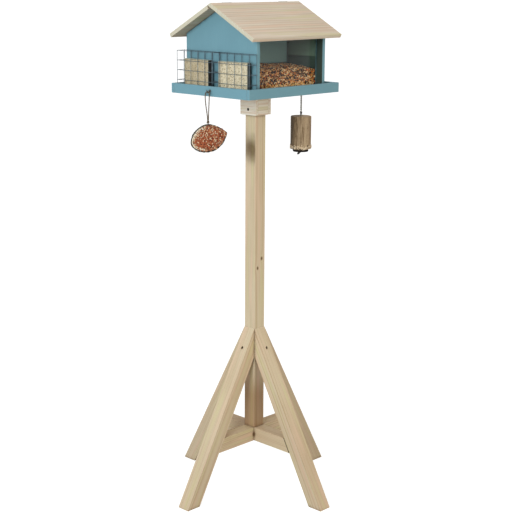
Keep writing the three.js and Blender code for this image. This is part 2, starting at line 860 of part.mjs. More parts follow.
function logWire() {
  const eye = new THREE.TorusGeometry(eyeRadius, logWireRadius, hookSides, roundSides)
    .rotateY(Math.PI / 2).translate(0, 0, eyeMiddle);
  const shank = rod(logWireRadius, [0, 0, eyeMiddle - eyeRadius], [0, 0, tailHeight - logWireRadius], hookSides);
  const tail = rod(logWireRadius, [0, 0, tailHeight], [0, wireTail, tailHeight - wireTailDrop], hookSides);
  return join(eye, shank, tail);
}

const logGroup = new THREE.Group();
logGroup.position.set(hookSeat, -hookAside, 0);
birdTable.add(logGroup);
add(logGroup, 'seed_log', logBody(), logCrumb);
add(logGroup, 'log_wire', logWire(), galvanised);
add(logGroup, 'log_washer', washer(), blackPlastic);

export default birdTable;
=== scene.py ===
# %% [markdown]
# The bird table stands on one post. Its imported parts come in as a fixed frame, in metres, with
# the post's axis at the origin and the floor at zero. Everything below is built around them,
# so the first step is to load them and to keep the size of the whole for a check at the end.
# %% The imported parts
import math

import bmesh
import bpy
import numpy as np
from mathutils import Euler, Matrix, Vector, noise


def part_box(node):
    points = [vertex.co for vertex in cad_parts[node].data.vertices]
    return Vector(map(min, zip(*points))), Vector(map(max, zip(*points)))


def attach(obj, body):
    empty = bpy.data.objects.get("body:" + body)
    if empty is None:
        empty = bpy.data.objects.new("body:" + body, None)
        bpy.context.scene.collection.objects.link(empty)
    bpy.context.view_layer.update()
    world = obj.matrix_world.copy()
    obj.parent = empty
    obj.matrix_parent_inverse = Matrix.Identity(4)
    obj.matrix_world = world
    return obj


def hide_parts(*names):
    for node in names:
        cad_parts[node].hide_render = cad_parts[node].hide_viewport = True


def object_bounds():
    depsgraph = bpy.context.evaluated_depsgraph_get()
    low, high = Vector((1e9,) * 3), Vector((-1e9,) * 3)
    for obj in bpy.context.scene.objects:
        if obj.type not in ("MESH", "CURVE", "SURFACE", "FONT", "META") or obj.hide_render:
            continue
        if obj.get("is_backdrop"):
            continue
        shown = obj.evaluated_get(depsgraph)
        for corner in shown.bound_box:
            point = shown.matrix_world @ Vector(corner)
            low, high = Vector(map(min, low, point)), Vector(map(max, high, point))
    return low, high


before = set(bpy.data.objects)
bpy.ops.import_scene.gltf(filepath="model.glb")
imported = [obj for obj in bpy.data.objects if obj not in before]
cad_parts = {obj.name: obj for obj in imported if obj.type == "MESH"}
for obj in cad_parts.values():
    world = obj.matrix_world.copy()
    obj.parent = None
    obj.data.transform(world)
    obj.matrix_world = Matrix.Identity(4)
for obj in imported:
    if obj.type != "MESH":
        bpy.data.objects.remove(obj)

solid_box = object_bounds()
MM = 0.001

# %% [markdown]
# A product picture of a tall thing is taken from far away with a long lens, so that upright
# lines stay nearly parallel. The camera stands off the corner between the cages and the seed
# window, a little higher than the ridge, and looks slightly down. Three turns in a row say
# that more plainly than a matrix of numbers: round the post, down, and a hair of roll.
# %% Camera
CAMERA_DISTANCE = 3.44987
CAMERA_ASIDE = 0.00338
CAMERA_HEIGHT = 1.49585
CAMERA_AROUND = 45.61731  # degrees from the seed window's side
CAMERA_DOWN = 13.05482
CAMERA_ROLL = 0.30630
CAMERA_LENS = 86.213
FARTHEST_SEEN = 400.0


def turn(degrees, axis):
    """A rotation about one axis."""
    return Matrix.Rotation(math.radians(degrees), 4, axis)


def shown(name, data):
    """A new object in the scene."""
    made = bpy.data.objects.new(name, data)
    bpy.context.scene.collection.objects.link(made)
    return made


camera = shown("camera", bpy.data.cameras.new("camera"))
camera.data.lens = CAMERA_LENS
camera.data.clip_end = FARTHEST_SEEN
around = turn(-CAMERA_AROUND, "Z")
stand = around @ Vector((CAMERA_ASIDE, -CAMERA_DISTANCE, CAMERA_HEIGHT))
look = around @ turn(90 - CAMERA_DOWN, "X") @ turn(CAMERA_ROLL, "Z")
camera.matrix_world = Matrix.Translation(stand) @ look
bpy.context.scene.camera = camera
print("camera at", [round(value, 3) for value in stand])

# %% [markdown]
# Most pieces are made as lists of points and faces, because a rule in code gives exact sizes
# and can be repeated. A sweep carries a round section along a path. Its rings must not spin,
# so each ring's side vector is the last one with the new direction taken out of it.
# %% Meshes from points and faces
def unit(vectors):
    """Vectors scaled to a length of one."""
    return vectors / np.maximum(np.linalg.norm(vectors, axis=-1, keepdims=True), 1e-12)


def stacked(*parts):
    """Points from their X, Y and Z, each an array or one number for all."""
    return np.stack(np.broadcast_arrays(*parts), -1)


def sides_along(path):
    """The side and the upper side at each point of a path."""
    along = unit(np.gradient(np.asarray(path, float), axis=0))
    guide = np.eye(3)[np.argmin(np.abs(along[0]))]
    across = []
    for direction in along:
        guide = unit(guide - direction * (guide @ direction))
        across.append(guide)
    return np.array(across), np.cross(along, across)


def sweep(path, radius, sides=10):
    """A round tube along a path, with flat ends."""
    path = np.asarray(path, float)
    across, over = sides_along(path)
    angle = np.linspace(0, 2 * np.pi, sides, endpoint=False)[:, None]
    ring = np.cos(angle) * across[:, None] + np.sin(angle) * over[:, None]
    radius = np.broadcast_to(radius, len(path))[:, None, None]
    points = (path[:, None] + ring * radius).reshape(-1, 3)
    faces = [tuple(reversed(range(sides))), tuple(range(len(points) - sides, len(points)))]
    for low in range(0, len(points) - sides, sides):
        for side in range(sides):
            after = (side + 1) % sides
            faces.append((low + side, low + after, low + sides + after, low + sides + side))
    return points, faces


def lathe(profile, sides=48):
    """A profile of (radius, height) turned about Z. A place on the axis is a single point."""
    points, faces, rings = [], [], []
    for radius, height in profile:
        count = sides if radius > 0 else 1
        rings.append([len(points) + side for side in range(count)])
        for side in range(count):
            angle = 2 * math.pi * side / sides
            points.append((radius * math.cos(angle), radius * math.sin(angle), height))
    for low, high in zip(rings, rings[1:]):
        for side in range(sides):
            places = ((low, side), (low, side + 1), (high, side + 1), (high, side))
            faces.append(tuple(dict.fromkeys(ring[place % len(ring)] for ring, place in places)))
    return np.array(points), faces


def together(*meshes):
    """Several meshes as one list of points and one list of faces."""
    points, faces, start = [], [], 0
    for own_points, own_faces in meshes:
        points.append(np.asarray(own_points, float))
        faces.extend(tuple(start + corner for corner in face) for face in own_faces)
        start += len(own_points)
    return np.concatenate(points), faces


def moved(points, matrix):
    """Points moved by a matrix."""
    matrix = np.array(matrix)
    return points @ matrix[:3, :3].T + matrix[:3, 3]


print("mesh words: sweep, lathe, together, moved")

# %% [markdown]
# A list of points and faces becomes an object here. A piece also says which body it rides on,
# which imported part it stands for, and which material it takes. That material may come
# only later, so an empty one is made under its name and is filled in when its turn comes.
# %% Pieces of the table
FINISHES = {}


def finish_named(name):
    """The material of that name, made empty when it is first asked for."""
    if name not in FINISHES:
        FINISHES[name] = bpy.data.materials.new(name)
        FINISHES[name].use_nodes = True
        FINISHES[name].node_tree.nodes.clear()
    return FINISHES[name]


def shaped(name, mesh, finish, smooth=True):
    """A new object made of points and faces."""
    data = bpy.data.meshes.new(name)
    data.from_pydata(np.asarray(mesh[0]).tolist(), [], mesh[1])
    data.polygons.foreach_set("use_smooth", [smooth] * len(data.polygons))
    data.materials.append(finish_named(finish))
    return shown(name, data)


def piece(name, mesh, body, finish, replaces=(), smooth=True, tone=None):
    """A new piece of the table, riding on a body. tone is a value per point for its material."""
    made = shaped(name, mesh, finish, smooth)
    if tone is not None:
        values = made.data.attributes.new("tone", "FLOAT", "POINT").data
        values.foreach_set("value", np.asarray(tone, np.float32))
    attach(made, body)
    if replaces:
        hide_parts(*replaces)
    return made


print("piece words: shaped, piece")

# %% [markdown]
# The half coconut hangs from a loop of jute twine that goes over a cup hook. Twine is three
# yarns laid round each other, and at arm's length the lay is what tells it from a plain cord.
# A curve with a bevel would give a smooth tube, so three yarns are swept as helices round the
# line that the twine follows.
# %% Laid yarns
def smooth_path(points, steps):
    """A centripetal Catmull-Rom curve through points, with that many steps to a stretch."""
    points = np.asarray(points, float)
    points = np.vstack([2 * points[0] - points[1], points, 2 * points[-1] - points[-2]])
    line = []
    for four in zip(points, points[1:], points[2:], points[3:]):
        gaps = [np.linalg.norm(after - before) ** 0.5 for before, after in zip(four, four[1:])]
        knots = np.cumsum([0] + gaps)
        for t in np.linspace(knots[1], knots[2], steps, endpoint=False):
            def between(p, q, low, high):
                return p + (q - p) * (t - knots[low]) / (knots[high] - knots[low])
            ab, bc, cd = (between(four[i], four[i + 1], i, i + 1) for i in range(3))
            line.append(between(between(ab, bc, 0, 2), between(bc, cd, 1, 3), 1, 2))
    return np.array(line + [points[-2]])


def length_of(path):
    """The length of a path of points."""
    return float(np.linalg.norm(np.diff(path, axis=0), axis=1).sum())


def laid_yarns(path, radius, lay, yarns=3, sides=7):
    """Yarns twisted round a path, which together are as thick as the twine."""
    across, over = sides_along(path)
    reached = np.cumsum(np.linalg.norm(np.diff(path, axis=0, prepend=path[:1]), axis=1))
    tubes = []
    for yarn in range(yarns):
        angle = 2 * np.pi * (reached / lay + yarn / yarns)[:, None]
        swing = np.cos(angle) * across + np.sin(angle) * over
        tubes.append(sweep(path + swing * radius / 2, radius / 2 * 1.08, sides))
    return together(*tubes)


print("path words: smooth_path, length_of, laid_yarns")

# %% [markdown]
# The loop's line starts at the knot, spreads, passes over the hook and comes back. Its points
# are shares of the loop's height, since the photo shows the loop from end to end.
# %% Twine over the hook
HOOK_SEAT = -186.65 * MM  # the hook's lowest point, along the table
HOOK_ASIDE = -3.0 * MM
TWINE_FOOT = 1102.65 * MM
TWINE_RISE = 78.1 * MM
TWINE_RADIUS = 1.5 * MM
TWINE_SLACK = 1.04  # the yarns lie this much nearer together than the radius says
TWINE_LAY = 9.0 * MM  # along the twine for one turn of the yarns
TWINE_STEPS = 9
TWINE_SHARES = [
    [0.023, 0], [0.024, 0.077], [0.038, 0.179], [0.067, 0.32], [0.1, 0.487], [0.126, 0.653],
    [0.138, 0.781], [0.136, 0.864], [0.118, 0.927], [0.09, 0.969], [0.051, 0.992], [0.006, 1],
    [-0.033, 0.985], [-0.059, 0.945], [-0.067, 0.884], [-0.064, 0.794], [-0.056, 0.653],
    [-0.046, 0.487], [-0.036, 0.32], [-0.027, 0.179], [-0.023, 0.077], [-0.023, 0],
]

twine_path = smooth_path([
    (HOOK_SEAT, HOOK_ASIDE + aside * TWINE_RISE, TWINE_FOOT + up * TWINE_RISE)
    for aside, up in TWINE_SHARES
], TWINE_STEPS)
twine = piece(
    "twine_loop_laid", laid_yarns(twine_path, TWINE_RADIUS / TWINE_SLACK, TWINE_LAY),
    "twine", "jute twine", replaces=["twine_loop"],
)
print("twine loop: %.0f mm" % (length_of(twine_path) / MM))

# %% [markdown]
# Jute is hairy. About a hundred loose fibres stand off the twine, far too thin to measure, and
# they ride with it as a piece of the cord. They keep clear of both ends, where the knot turns.
# %% Hairs on the twine
HAIRS = 110
HAIR_THICK = np.linspace(0.08, 0.03, 5) * MM  # half the thickness, from root to tip
CLEAR_STEPS = (12, 14)  # steps of the loop without hairs at its start and its end

rng = np.random.default_rng(51)
strands = []
for _ in range(HAIRS):
    step = rng.integers(CLEAR_STEPS[0], len(twine_path) - CLEAR_STEPS[1])
    root = twine_path[step]
    outward = unit(rng.normal(size=3))
    slide = unit(twine_path[step + 1] - root) * rng.choice((-1, 1))
    reach = rng.uniform(2.0, 5.0) * MM
    share = np.linspace(0, 1, len(HAIR_THICK))[:, None]
    bent = outward * share ** 0.6 * 0.5 + slide * share
    strands.append(sweep(root + outward * TWINE_RADIUS * 0.8 + bent * reach, HAIR_THICK, 4))
piece("twine_loop_hairs", together(*strands), "twine", "jute twine")
print("hairs:", HAIRS)

# %% [markdown]
# A material is a net of small nodes: textures that give numbers, and arithmetic between them.
# Written out in full, each node takes several lines, and the idea is lost among them. So an
# output is wrapped in a value that plain signs work on, as they do on a number. Colours are
# given as a screen shows them, from 0 to 255, and turned into linear values.
# %% Colours and values
SIGNS = {"add": "ADD", "sub": "SUBTRACT", "mul": "MULTIPLY", "truediv": "DIVIDE", "pow": "POWER"}


def paint(red, green, blue):
    """A screen colour, as the linear colour of a shader."""
    shares = [value / 255 for value in (red, green, blue)]
    return (*(s / 12.92 if s <= 0.04045 else ((s + 0.055) / 1.055) ** 2.4 for s in shares), 1.0)


class Value:
    """An output of a node. The signs + - * / and ** between values make Math nodes."""

    def __init__(self, net, socket):
        self.net, self.socket = net, socket

    def signed(self, operation, *pair):
        kind = "Math" if self.socket.type == "VALUE" else "VectorMath"
        return self.net.node(kind, dict(enumerate(pair)), operation=operation)[0]


for sign, operation in SIGNS.items():
    setattr(Value, f"__{sign}__", lambda a, b, how=operation: a.signed(how, a, b))
    setattr(Value, f"__r{sign}__", lambda a, b, how=operation: a.signed(how, b, a))
print("signs between values:", list(SIGNS.values()))

# %% [markdown]
# A net stands for one tree of nodes. It has a short word for each kind of node that is used
# here, such as noise, a fade between two levels, a mix of colours or a bump. Each word gives
# back a value, so that a line of code reads as one step of the recipe.
# %% Short words for shader nodes
class Net:
    """A node tree with a short word for each kind of node that is used here."""

    def __init__(self, tree, out=None):
        self.tree, self.out = tree, out

    def values(self, node):
        """A node's outputs by number and by name."""
        found = {}
        for number, socket in enumerate(node.outputs):
            found[number] = Value(self, socket)
            found.setdefault(socket.name, found[number])
        return found

    def node(self, kind, inputs=(), **settings):
        made = self.tree.nodes.new("ShaderNode" + kind)
        for name, value in settings.items():
            setattr(made, name, value)
        for name, value in dict(inputs).items():
            self.put(made.inputs[name], value)
        return self.values(made)

    def put(self, socket, value):
        if isinstance(value, Value):
            self.tree.links.new(value.socket, socket)
        else:
            socket.default_value = value

    def give(self, **outputs):
        for name, value in outputs.items():
            self.put(self.out[name.replace("_", " ")], value)

    def use(self, group, **inputs):
        named = {name.replace("_", " "): value for name, value in inputs.items()}
        return self.node("Group", named, node_tree=group.tree)

    def where(self):
        return self.node("TexCoord")["Object"]

    def tone(self):
        return self.node("Attribute", attribute_name="tone")["Fac"]

    def split(self, vector):
        return self.node("SeparateXYZ", {0: vector})

    def facing(self):
        return self.split(self.node("NewGeometry")["Normal"])

    def math(self, operation, *values):
        return self.node("Math", dict(enumerate(values)), operation=operation)[0]

    def most(self, first, second):
        return self.math("MAXIMUM", first, second)

    def length(self, vector):
        return self.node("VectorMath", {0: vector}, operation="LENGTH")["Value"]

    def noise(self, vector, scale, detail=2.0, rough=0.5):
        inputs = {"Vector": vector, "Scale": scale, "Detail": detail, "Roughness": rough}
        return self.node("TexNoise", inputs)[0]

    def fade(self, value, low, high, to_low=0.0, to_high=1.0):
        inputs = {"Value": value, "From Min": low, "From Max": high, "To Min": to_low, "To Max": to_high}
        return self.node("MapRange", inputs, interpolation_type="SMOOTHSTEP")[0]

    def fall(self, value, low, high):
        return self.fade(value, low, high, 1.0, 0.0)

    def colour(self, share, first, second, how="MIX"):
        return self.node("Mix", {0: share, 6: first, 7: second}, data_type="RGBA", blend_type=how)[2]

    def stain(self, share, colour, stain):
        return self.colour(share, colour, stain, "MULTIPLY")

    def bump(self, height, distance, strength=1.0):
        return self.node("Bump", {"Height": height, "Distance": distance, "Strength": strength})[0]


print("net words ready")

# %% [markdown]
# An effect that several materials share is a group with named inputs and outputs, so that it
# is drawn once and each material sets its own amounts. The shader itself stays in the
# material: a surface is a material whose Principled shader waits for colours and numbers.
# %% Effects and surfaces
SOCKETS = {1: "NodeSocketFloat", 3: "NodeSocketVector", 4: "NodeSocketColor"}


def effect(name, inputs, outputs):
    """A node group as a net. A default's length says what its socket holds: 1, 3 or 4 numbers."""
    tree = bpy.data.node_groups.new(name, "ShaderNodeTree")
    for title, default in inputs.items():
        kind = SOCKETS[len(default) if isinstance(default, tuple) else 1]
        socket = tree.interface.new_socket(name=title, in_out="INPUT", socket_type=kind)
        socket.default_value = default
    for title, size in outputs.items():
        tree.interface.new_socket(name=title, in_out="OUTPUT", socket_type=SOCKETS[size])
    net = Net(tree)
    net.given = net.values(tree.nodes.new("NodeGroupInput"))
    net.out = tree.nodes.new("NodeGroupOutput").inputs
    return net


def surface(name, **values):
    """A material's net, which gives to the Principled shader on its output."""
    net = Net(finish_named(name).node_tree)
    net.shader = net.node("BsdfPrincipled")[0]
    net.out = net.shader.socket.node.inputs
    net.end = net.tree.nodes.new("ShaderNodeOutputMaterial").inputs["Surface"]
    net.put(net.end, net.shader)
    net.give(**values)
    return net


print("sockets of a group:", list(SOCKETS.values()))

# %% [markdown]
# Sawn pine shows its yearly rings. On a face cut along the trunk they are long stripes, each
# pale at first and then darker, with a sharp far edge; the fine fibres run the same way. The
# rings are in the whole piece, not on its skin, so the group works in three dimensions: the
# distance from the pith picks the ring. The grain runs along Z of the vector that it is given.
# %% Grain of sawn pine
NOWHERE = (0.0, 0.0, 0.0)
WOOD_GRAIN = net = effect(
    "sawn pine grain",
    {
        "Vector": NOWHERE, "Early": (0.6, 0.5, 0.3, 1.0), "Late": (0.4, 0.3, 0.2, 1.0),
        "Ring Width": 0.004, "Wander": 0.006, "Push": 0.0, "Figure": 0.5, "Fibre": 0.5,
    },
    {"Color": 4, "Height": 1, "Roughness": 1},
)
given, place = net.given, net.given["Vector"]
bend = (net.noise(place * (1.0, 1.0, 0.1), 11.0) - 0.5) * given["Wander"]
rings = (net.length(place * (1.0, 1.0, 0.0)) + bend + given["Push"]) / given["Ring Width"]
year = net.node("TexWhiteNoise", {"W": net.math("FLOOR", rings)}, noise_dimensions="1D")["Value"]
part = net.math("FRACT", rings)
late = net.fade(part, 0.25, 0.88) * net.fall(part, 0.9, 1.0) * net.fade(year, 0.0, 1.0, 0.35, 1.0)
fibre = net.noise(place * (1.0, 1.0, 0.012), 1500.0, 3.0, 0.6)
streak = net.noise(place * (1.0, 1.0, 0.03), 150.0, 3.0)
dark = late * given["Figure"] + (fibre - 0.5) * given["Fibre"] + (streak - 0.5) * 0.55
net.give(
    Color=net.colour(dark, given["Early"], given["Late"]), Height=fibre * 0.7 + late * 0.3,
    Roughness=net.fade(fibre, 0.2, 0.8, 0.58, 0.8),
)
print("group:", net.tree.name)

# %% [markdown]
# A knot is the foot of a branch. It is dark and hard, and the rings of the trunk part round
# it. The group gives a mask for its colour, and a push that is added to the pith's distance,
# so that the stripes of the grain bend past the knot as they do in a board.
# %% Knots
KNOT = net = effect(
    "knot", {"Vector": NOWHERE, "Centre": NOWHERE, "Size": (0.01, 0.01, 0.01), "Bend": 0.004},
    {"Mask": 1, "Heart": 1, "Push": 1},
)
given, place = net.given, net.given["Vector"]
ragged = net.noise(place * (1.0, 1.0, 0.25), 260.0, 3.0)
reach = net.length((place - given["Centre"]) / given["Size"]) + (ragged - 0.5) * 0.5
net.give(
    Mask=net.fall(reach, 0.45, 1.2), Heart=net.fall(reach, 0.1, 0.75),
    Push=1.0 / (1.0 + reach ** 2.5) * given["Bend"],
)
print("group:", net.tree.name)

# %% [markdown]
# Handling rounds and rubs the sharp edges, or arrises, of wood and paint. The Bevel node knows
# where they are: it gives the normal that a rounded edge would have, and where that differs
# from the real one, an edge is near. Noise breaks the line up, so that it isn't drawn evenly.
# %% Rubbed edges
RUBBED_EDGE = net = effect("rubbed edge", {"Vector": NOWHERE, "Radius": 0.0012, "Amount": 0.5}, {"Mask": 1})
rounded = net.node("Bevel", {"Radius": net.given["Radius"]}, samples=4)[0]
true = net.node("NewGeometry")["Normal"]
agree = net.node("VectorMath", {0: rounded, 1: true}, operation="DOT_PRODUCT")["Value"]
patch = net.fade(net.noise(net.given["Vector"], 90.0, 3.0, 0.6), 0.35, 0.65)
net.give(Mask=net.fade(agree, 0.98, 0.8) * (patch * net.given["Amount"]))
print("group:", net.tree.name)

# %% [markdown]
# Where two boards meet, light hardly comes in, and a dark line of shade marks the joint. Here
# that shade is painted: the Ambient Occlusion node tells how closed in a point is, within a
# centimetre or so it finds joints alone, and noise makes the painted shade uneven.
# %% Painted shade in corners
CORNER_SHADE = net = effect("corner grime", {"Vector": NOWHERE, "Reach": 0.012, "Amount": 0.6}, {"Mask": 1})
openness = net.node("AmbientOcclusion", {"Distance": net.given["Reach"]}, samples=6)["AO"]
uneven = net.fade(net.noise(net.given["Vector"], 60.0, 3.0, 0.6), 0.3, 0.7, 0.55, 1.0)
net.give(Mask=net.fall(openness, 0.45, 0.92) * (uneven * net.given["Amount"]))
print("group:", net.tree.name)

# %% [markdown]
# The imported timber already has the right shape, so it is kept, and only its edges are eased.
# Its triangles come in unjoined: a Weld modifier joins their corners, and a Bevel modifier
# with an angle limit then rounds the true edges alone and leaves the flat faces as they are.
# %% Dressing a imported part
EASED = 0.8 * MM
WELD_GAP = 0.02 * MM
TRUE_EDGE = 32  # degrees between two faces, from which their edge is rounded


def rounded_edges(made, width):
    """Rounds the true edges of an object."""
    bevel = made.modifiers.new("eased edges", "BEVEL")
    bevel.width = width
    bevel.segments = 2
    return bevel


def dress(nodes, finish, eased=EASED):
    """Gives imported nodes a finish, and rounds their edges."""
    for name in nodes:
        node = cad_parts[name]
        node.material_slots[0].material = finish_named(finish)
        node.modifiers.new("joined corners", "WELD").merge_threshold = WELD_GAP
        bevel = rounded_edges(node, eased)
        bevel.limit_method = "ANGLE"
        bevel.angle_limit = math.radians(TRUE_EDGE)


def named(start):
    """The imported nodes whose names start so."""
    return [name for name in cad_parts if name.startswith(start)]


print("eased edges: %.1f mm" % (EASED / MM))

# %% [markdown]
# The post, the legs and the braces are planed pine, pale and cut from small trees, so knots
# and wide rings are part of the look. Every piece gets a material of its own, because each
# was sawn from another place in a log: the pith lies elsewhere, and the grain follows that
# piece's length. A Mapping node lays the piece's length along the group's Z.
# %% Planed pine
PALE_PINE = paint(219, 200, 170)
LATE_PINE = paint(178, 142, 98)
PINK_PINE = paint(226, 194, 166)
YELLOW_PINE = paint(212, 200, 152)
KNOT_RIM = paint(138, 108, 72)
KNOT_HEART = paint(84, 62, 40)
WORN_PINE = paint(232, 219, 196)
# the colour of the painted shade in corners and joints
PINE_SHADE = paint(112, 80, 54)
UPRIGHT, ALONG_X, ALONG_Y = (0, 0, 0), (0, -90, 0), (90, 0, 0)


def pine(name, nodes, grain, pith, knots=(), early=PALE_PINE, late=LATE_PINE, ring=4.2 * MM,
         figure=0.42, extra=None, eased=EASED):
    """A pine finish. grain turns the nodes' length to Z; pith is the log's middle from theirs."""
    net = surface(name, Specular_IOR_Level=0.35)
    where = net.where()
    laid = Euler([math.radians(angle) for angle in grain])
    low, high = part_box(nodes[0])
    start = Vector(pith) - laid.to_matrix() @ ((low + high) / 2)
    mapped = net.node("Mapping", {"Vector": where, "Location": start, "Rotation": laid})[0]
    push, mask, heart = 0.0, 0.0, 0.0
    for centre, size in knots:
        spot = net.use(KNOT, Vector=where, Centre=centre, Size=size, Bend=1.2 * max(size))
        push = push + spot["Push"]
        mask = net.most(mask, spot["Mask"])
        heart = net.most(heart, spot["Heart"])
    wood = net.use(
        WOOD_GRAIN, Vector=mapped, Early=early, Late=late, Ring_Width=ring, Push=push, Figure=figure,
    )
    broad = net.noise(mapped * (1.0, 1.0, 0.25), 16.0)
    colour = net.colour(net.fade(broad, 0.3, 0.75, 0.0, 0.22), wood["Color"], late)
    tint = net.noise(mapped * (1.0, 1.0, 0.05), 75.0)
    colour = net.colour(net.fade(tint, 0.5, 0.7, 0.0, 0.6), colour, PINK_PINE)
    colour = net.colour(net.fade(tint, 0.5, 0.32, 0.0, 0.55), colour, YELLOW_PINE)
    colour = net.colour(mask, colour, net.colour(heart, KNOT_RIM, KNOT_HEART))
    colour = net.colour(net.use(RUBBED_EDGE, Vector=where, Amount=0.55)["Mask"], colour, WORN_PINE)
    if extra:
        colour = extra(net, where, colour)
    # painted shade in the corners and joints
    corner_shade = net.use(CORNER_SHADE, Vector=where, Amount=0.75)["Mask"]
    net.give(
        Base_Color=net.colour(corner_shade, colour, PINE_SHADE), Roughness=wood["Roughness"],
        Normal=net.bump(wood["Height"], 0.00025, 0.8),
    )
    dress(nodes, name, eased)


print("pine recipe ready")

# %% [markdown]
# The photo shows marks that belong to one piece alone: a soft dark patch high on the post,
# painted shade on the wood between the legs, and an open joint at the end of a brace. Each is a
# small function that works on the colour of its own timber, by place and by the way a face looks.
# %% Marks on the timber
PATCH_AT, PATCH_HALF = (-0.007, 1.007), (0.042, 0.058)  # along Y and Z
PATCH_STAIN = (0.33, 0.28, 0.21, 1.0)
# painted shade on the post between the legs, fading in between these heights
LEGS_SHADE_FROM, LEGS_SHADE_FULL = 0.37, 0.27  # heights
LEGS_SHADE = (0.63, 0.50, 0.41, 1.0)
FOOT_FROM, FOOT_FULL = 0.3, 0.12
FOOT_STAIN = (0.95, 0.93, 0.93, 1.0)
LEG_LEAN = 28.73
GAP_FULL, GAP_ENDS = 0.0022, 0.0034  # from the brace's low end
GAP_SHADE = paint(46, 34, 24)


def post_marks(net, where, colour):
    """A soft dark patch on the left face, and painted shade on the post between the legs."""
    place = net.split(where)
    across, along = ((place[axis] - at) / half for axis, at, half in zip("YZ", PATCH_AT, PATCH_HALF))
    away = net.math("SQRT", across * across + along * along)
    away = away + net.fade(net.noise(where, 40.0), 0.3, 0.7, -0.07, 0.07)
    patch = net.fall(away, 0.15, 1.0) * net.math("LESS_THAN", net.facing()["X"], -0.5)
    colour = net.stain(patch, colour, PATCH_STAIN)
    # painted shade between the legs
    return net.stain(net.fall(place["Z"], LEGS_SHADE_FULL, LEGS_SHADE_FROM), colour, LEGS_SHADE)


def foot_marks(net, where, colour):
    """Legs are a little darker towards the ground."""
    return net.stain(net.fall(net.split(where)["Z"], FOOT_FULL, FOOT_FROM), colour, FOOT_STAIN)


def gap_marks(net, where, colour):
    """The joint between the upper brace and the front leg stands open, as a dark line."""
    place = net.split(where)
    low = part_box("brace_upper")[0]
    slope = math.tan(math.radians(LEG_LEAN))
    end = net.math("MULTIPLY_ADD", place["Z"], slope, low.y - low.z * slope)
    return net.colour(net.fall(place["Y"] - end, GAP_FULL, GAP_ENDS), colour, GAP_SHADE)


print("marks: patch at", PATCH_AT, "damp below", LEGS_SHADE_FROM)

# %% [markdown]
# Now every timber gets its own place in a log. The post has two small knots, and each brace
# has one at the crossing, where the half laps meet.
# %% Pine on the timber
post_face = -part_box("post")[1].x
pine(
    "post pine", ["post"], UPRIGHT, (0.031, -0.052, 0.0), extra=post_marks,
    knots=[
        ((0.0075, post_face, 0.691), (0.0045, 0.006, 0.0065)),
        ((-0.0087, post_face, 0.6646), (0.0045, 0.006, 0.0065)),
    ],
)
for side, lean, pith in (
    ("right", (0, LEG_LEAN, 0), (0.042, 0.02, 0.0)), ("left", (0, -LEG_LEAN, 0), (-0.022, 0.06, 0.0)),
    ("back", (-LEG_LEAN, 0, 0), (0.04, -0.03, 0.0)), ("front", (LEG_LEAN, 0, 0), (-0.045, 0.012, 0.0)),
):
    pine(f"leg pine {side}", [f"leg_{side}"], lean, pith, figure=0.6, extra=foot_marks)
brace = {
    "knots": [((-0.0208, -0.0208, 0.161), (0.0065, 0.0065, 0.010))],
    "early": paint(212, 189, 157), "late": paint(158, 118, 74),
}
pine("lower brace pine", ["brace_lower"], ALONG_X, (0.03, 0.04, 0.0), **brace)
pine("upper brace pine", ["brace_upper"], ALONG_Y, (0.05, 0.1, 0.0), extra=gap_marks, **brace)
for name in named("collar_"):
    if "screw" in name:
        continue
    along = ALONG_Y if name.endswith(("left", "right")) else ALONG_X
    # the collars' pale wood is partly their own tone and partly painted light against the tray's shade
    pine(f"pine of {name}", [name], along, (0.02, 0.05, 0.0), early=paint(255, 247, 234))
pine("dowel pine", named("brace_dowel"), ALONG_X, (0.01, 0.01, 0.0), ring=2 * MM, eased=0.4 * MM)
pine("tray floor pine", ["tray_floor"], ALONG_X, (0.0, 0.06, 0.0))
print("pine finishes:", sum("pine" in name for name in FINISHES))

# %% [markdown]
# The house and the rims are painted blue-green, in one satin coat put on with a brush. Paint
# on softwood is never flat: the bristles leave fine ridges along the board, the grain rises
# under them, and at the arrises the coat thins until the wood shows through. The brush group
# gives the ridges and a slow change of tone, and the rubbed edge group bares the wood.
# %% Brushed paint
BRUSHED = net = effect(
    "brushed coat", {"Vector": NOWHERE, "Tone": (0.2, 0.3, 0.4, 1.0), "Depth": 0.22},
    {"Color": 4, "Height": 1, "Roughness": 1},
)
place, tone = net.given["Vector"], net.given["Tone"]
stroke = net.noise(place * (1.0, 1.0, 0.03), 700.0, 3.0, 0.55)
lap = net.noise(place * (1.0, 1.0, 0.3), 24.0, 3.0)
raised = net.noise(place * (1.0, 1.0, 0.05), 180.0)
lighter = net.colour(0.5, tone, (0.62, 0.86, 0.76, 1.0))
darker = net.colour(0.5, tone, (0.0, 0.02, 0.03, 1.0))
swing = ((lap - 0.5) * 1.2 + (stroke - 0.5) * 0.8) * net.given["Depth"]
coat = net.colour(net.most(swing, 0.0), tone, lighter)
net.give(
    Color=net.colour(net.most(swing * -1.0, 0.0), coat, darker), Height=stroke * 0.6 + raised * 0.8,
    Roughness=net.fade(lap, 0.3, 0.7, 0.46, 0.58),
)

print("group:", net.tree.name)

# %% [markdown]
# The rims take the coat as it is. On the gables the faces that look into the house get painted
# shade: a greyer coat behind the pane, and a darker one at the edge in front of the pane. Low
# down they are darker too. So their recipe asks where a point is and which way its face looks.
# %% Blue-green boards
BLUE_COAT = paint(115, 156, 169)
BARE_WOOD = paint(196, 176, 146)
# the colour of the painted shade in corners and joints
PAINT_SHADE = paint(36, 50, 50)
# painted shade inside the house: a greyer coat, and on the next line a darker colour
SHADED_INSIDE_COAT = paint(90, 106, 90)
INSIDE_DARKEST = paint(51, 62, 54)  # darker low down, and painted shade where the gable sticks out in front of the pane
PANE_INNER = abs(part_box("pane_front")[1].y)
DARK_BELOW = 1267.5 * MM  # faces inside the house are darker up to this height
SOFT_EDGE = (2 * MM, 3 * MM)  # of the darker band low down, and of the coat behind the pane
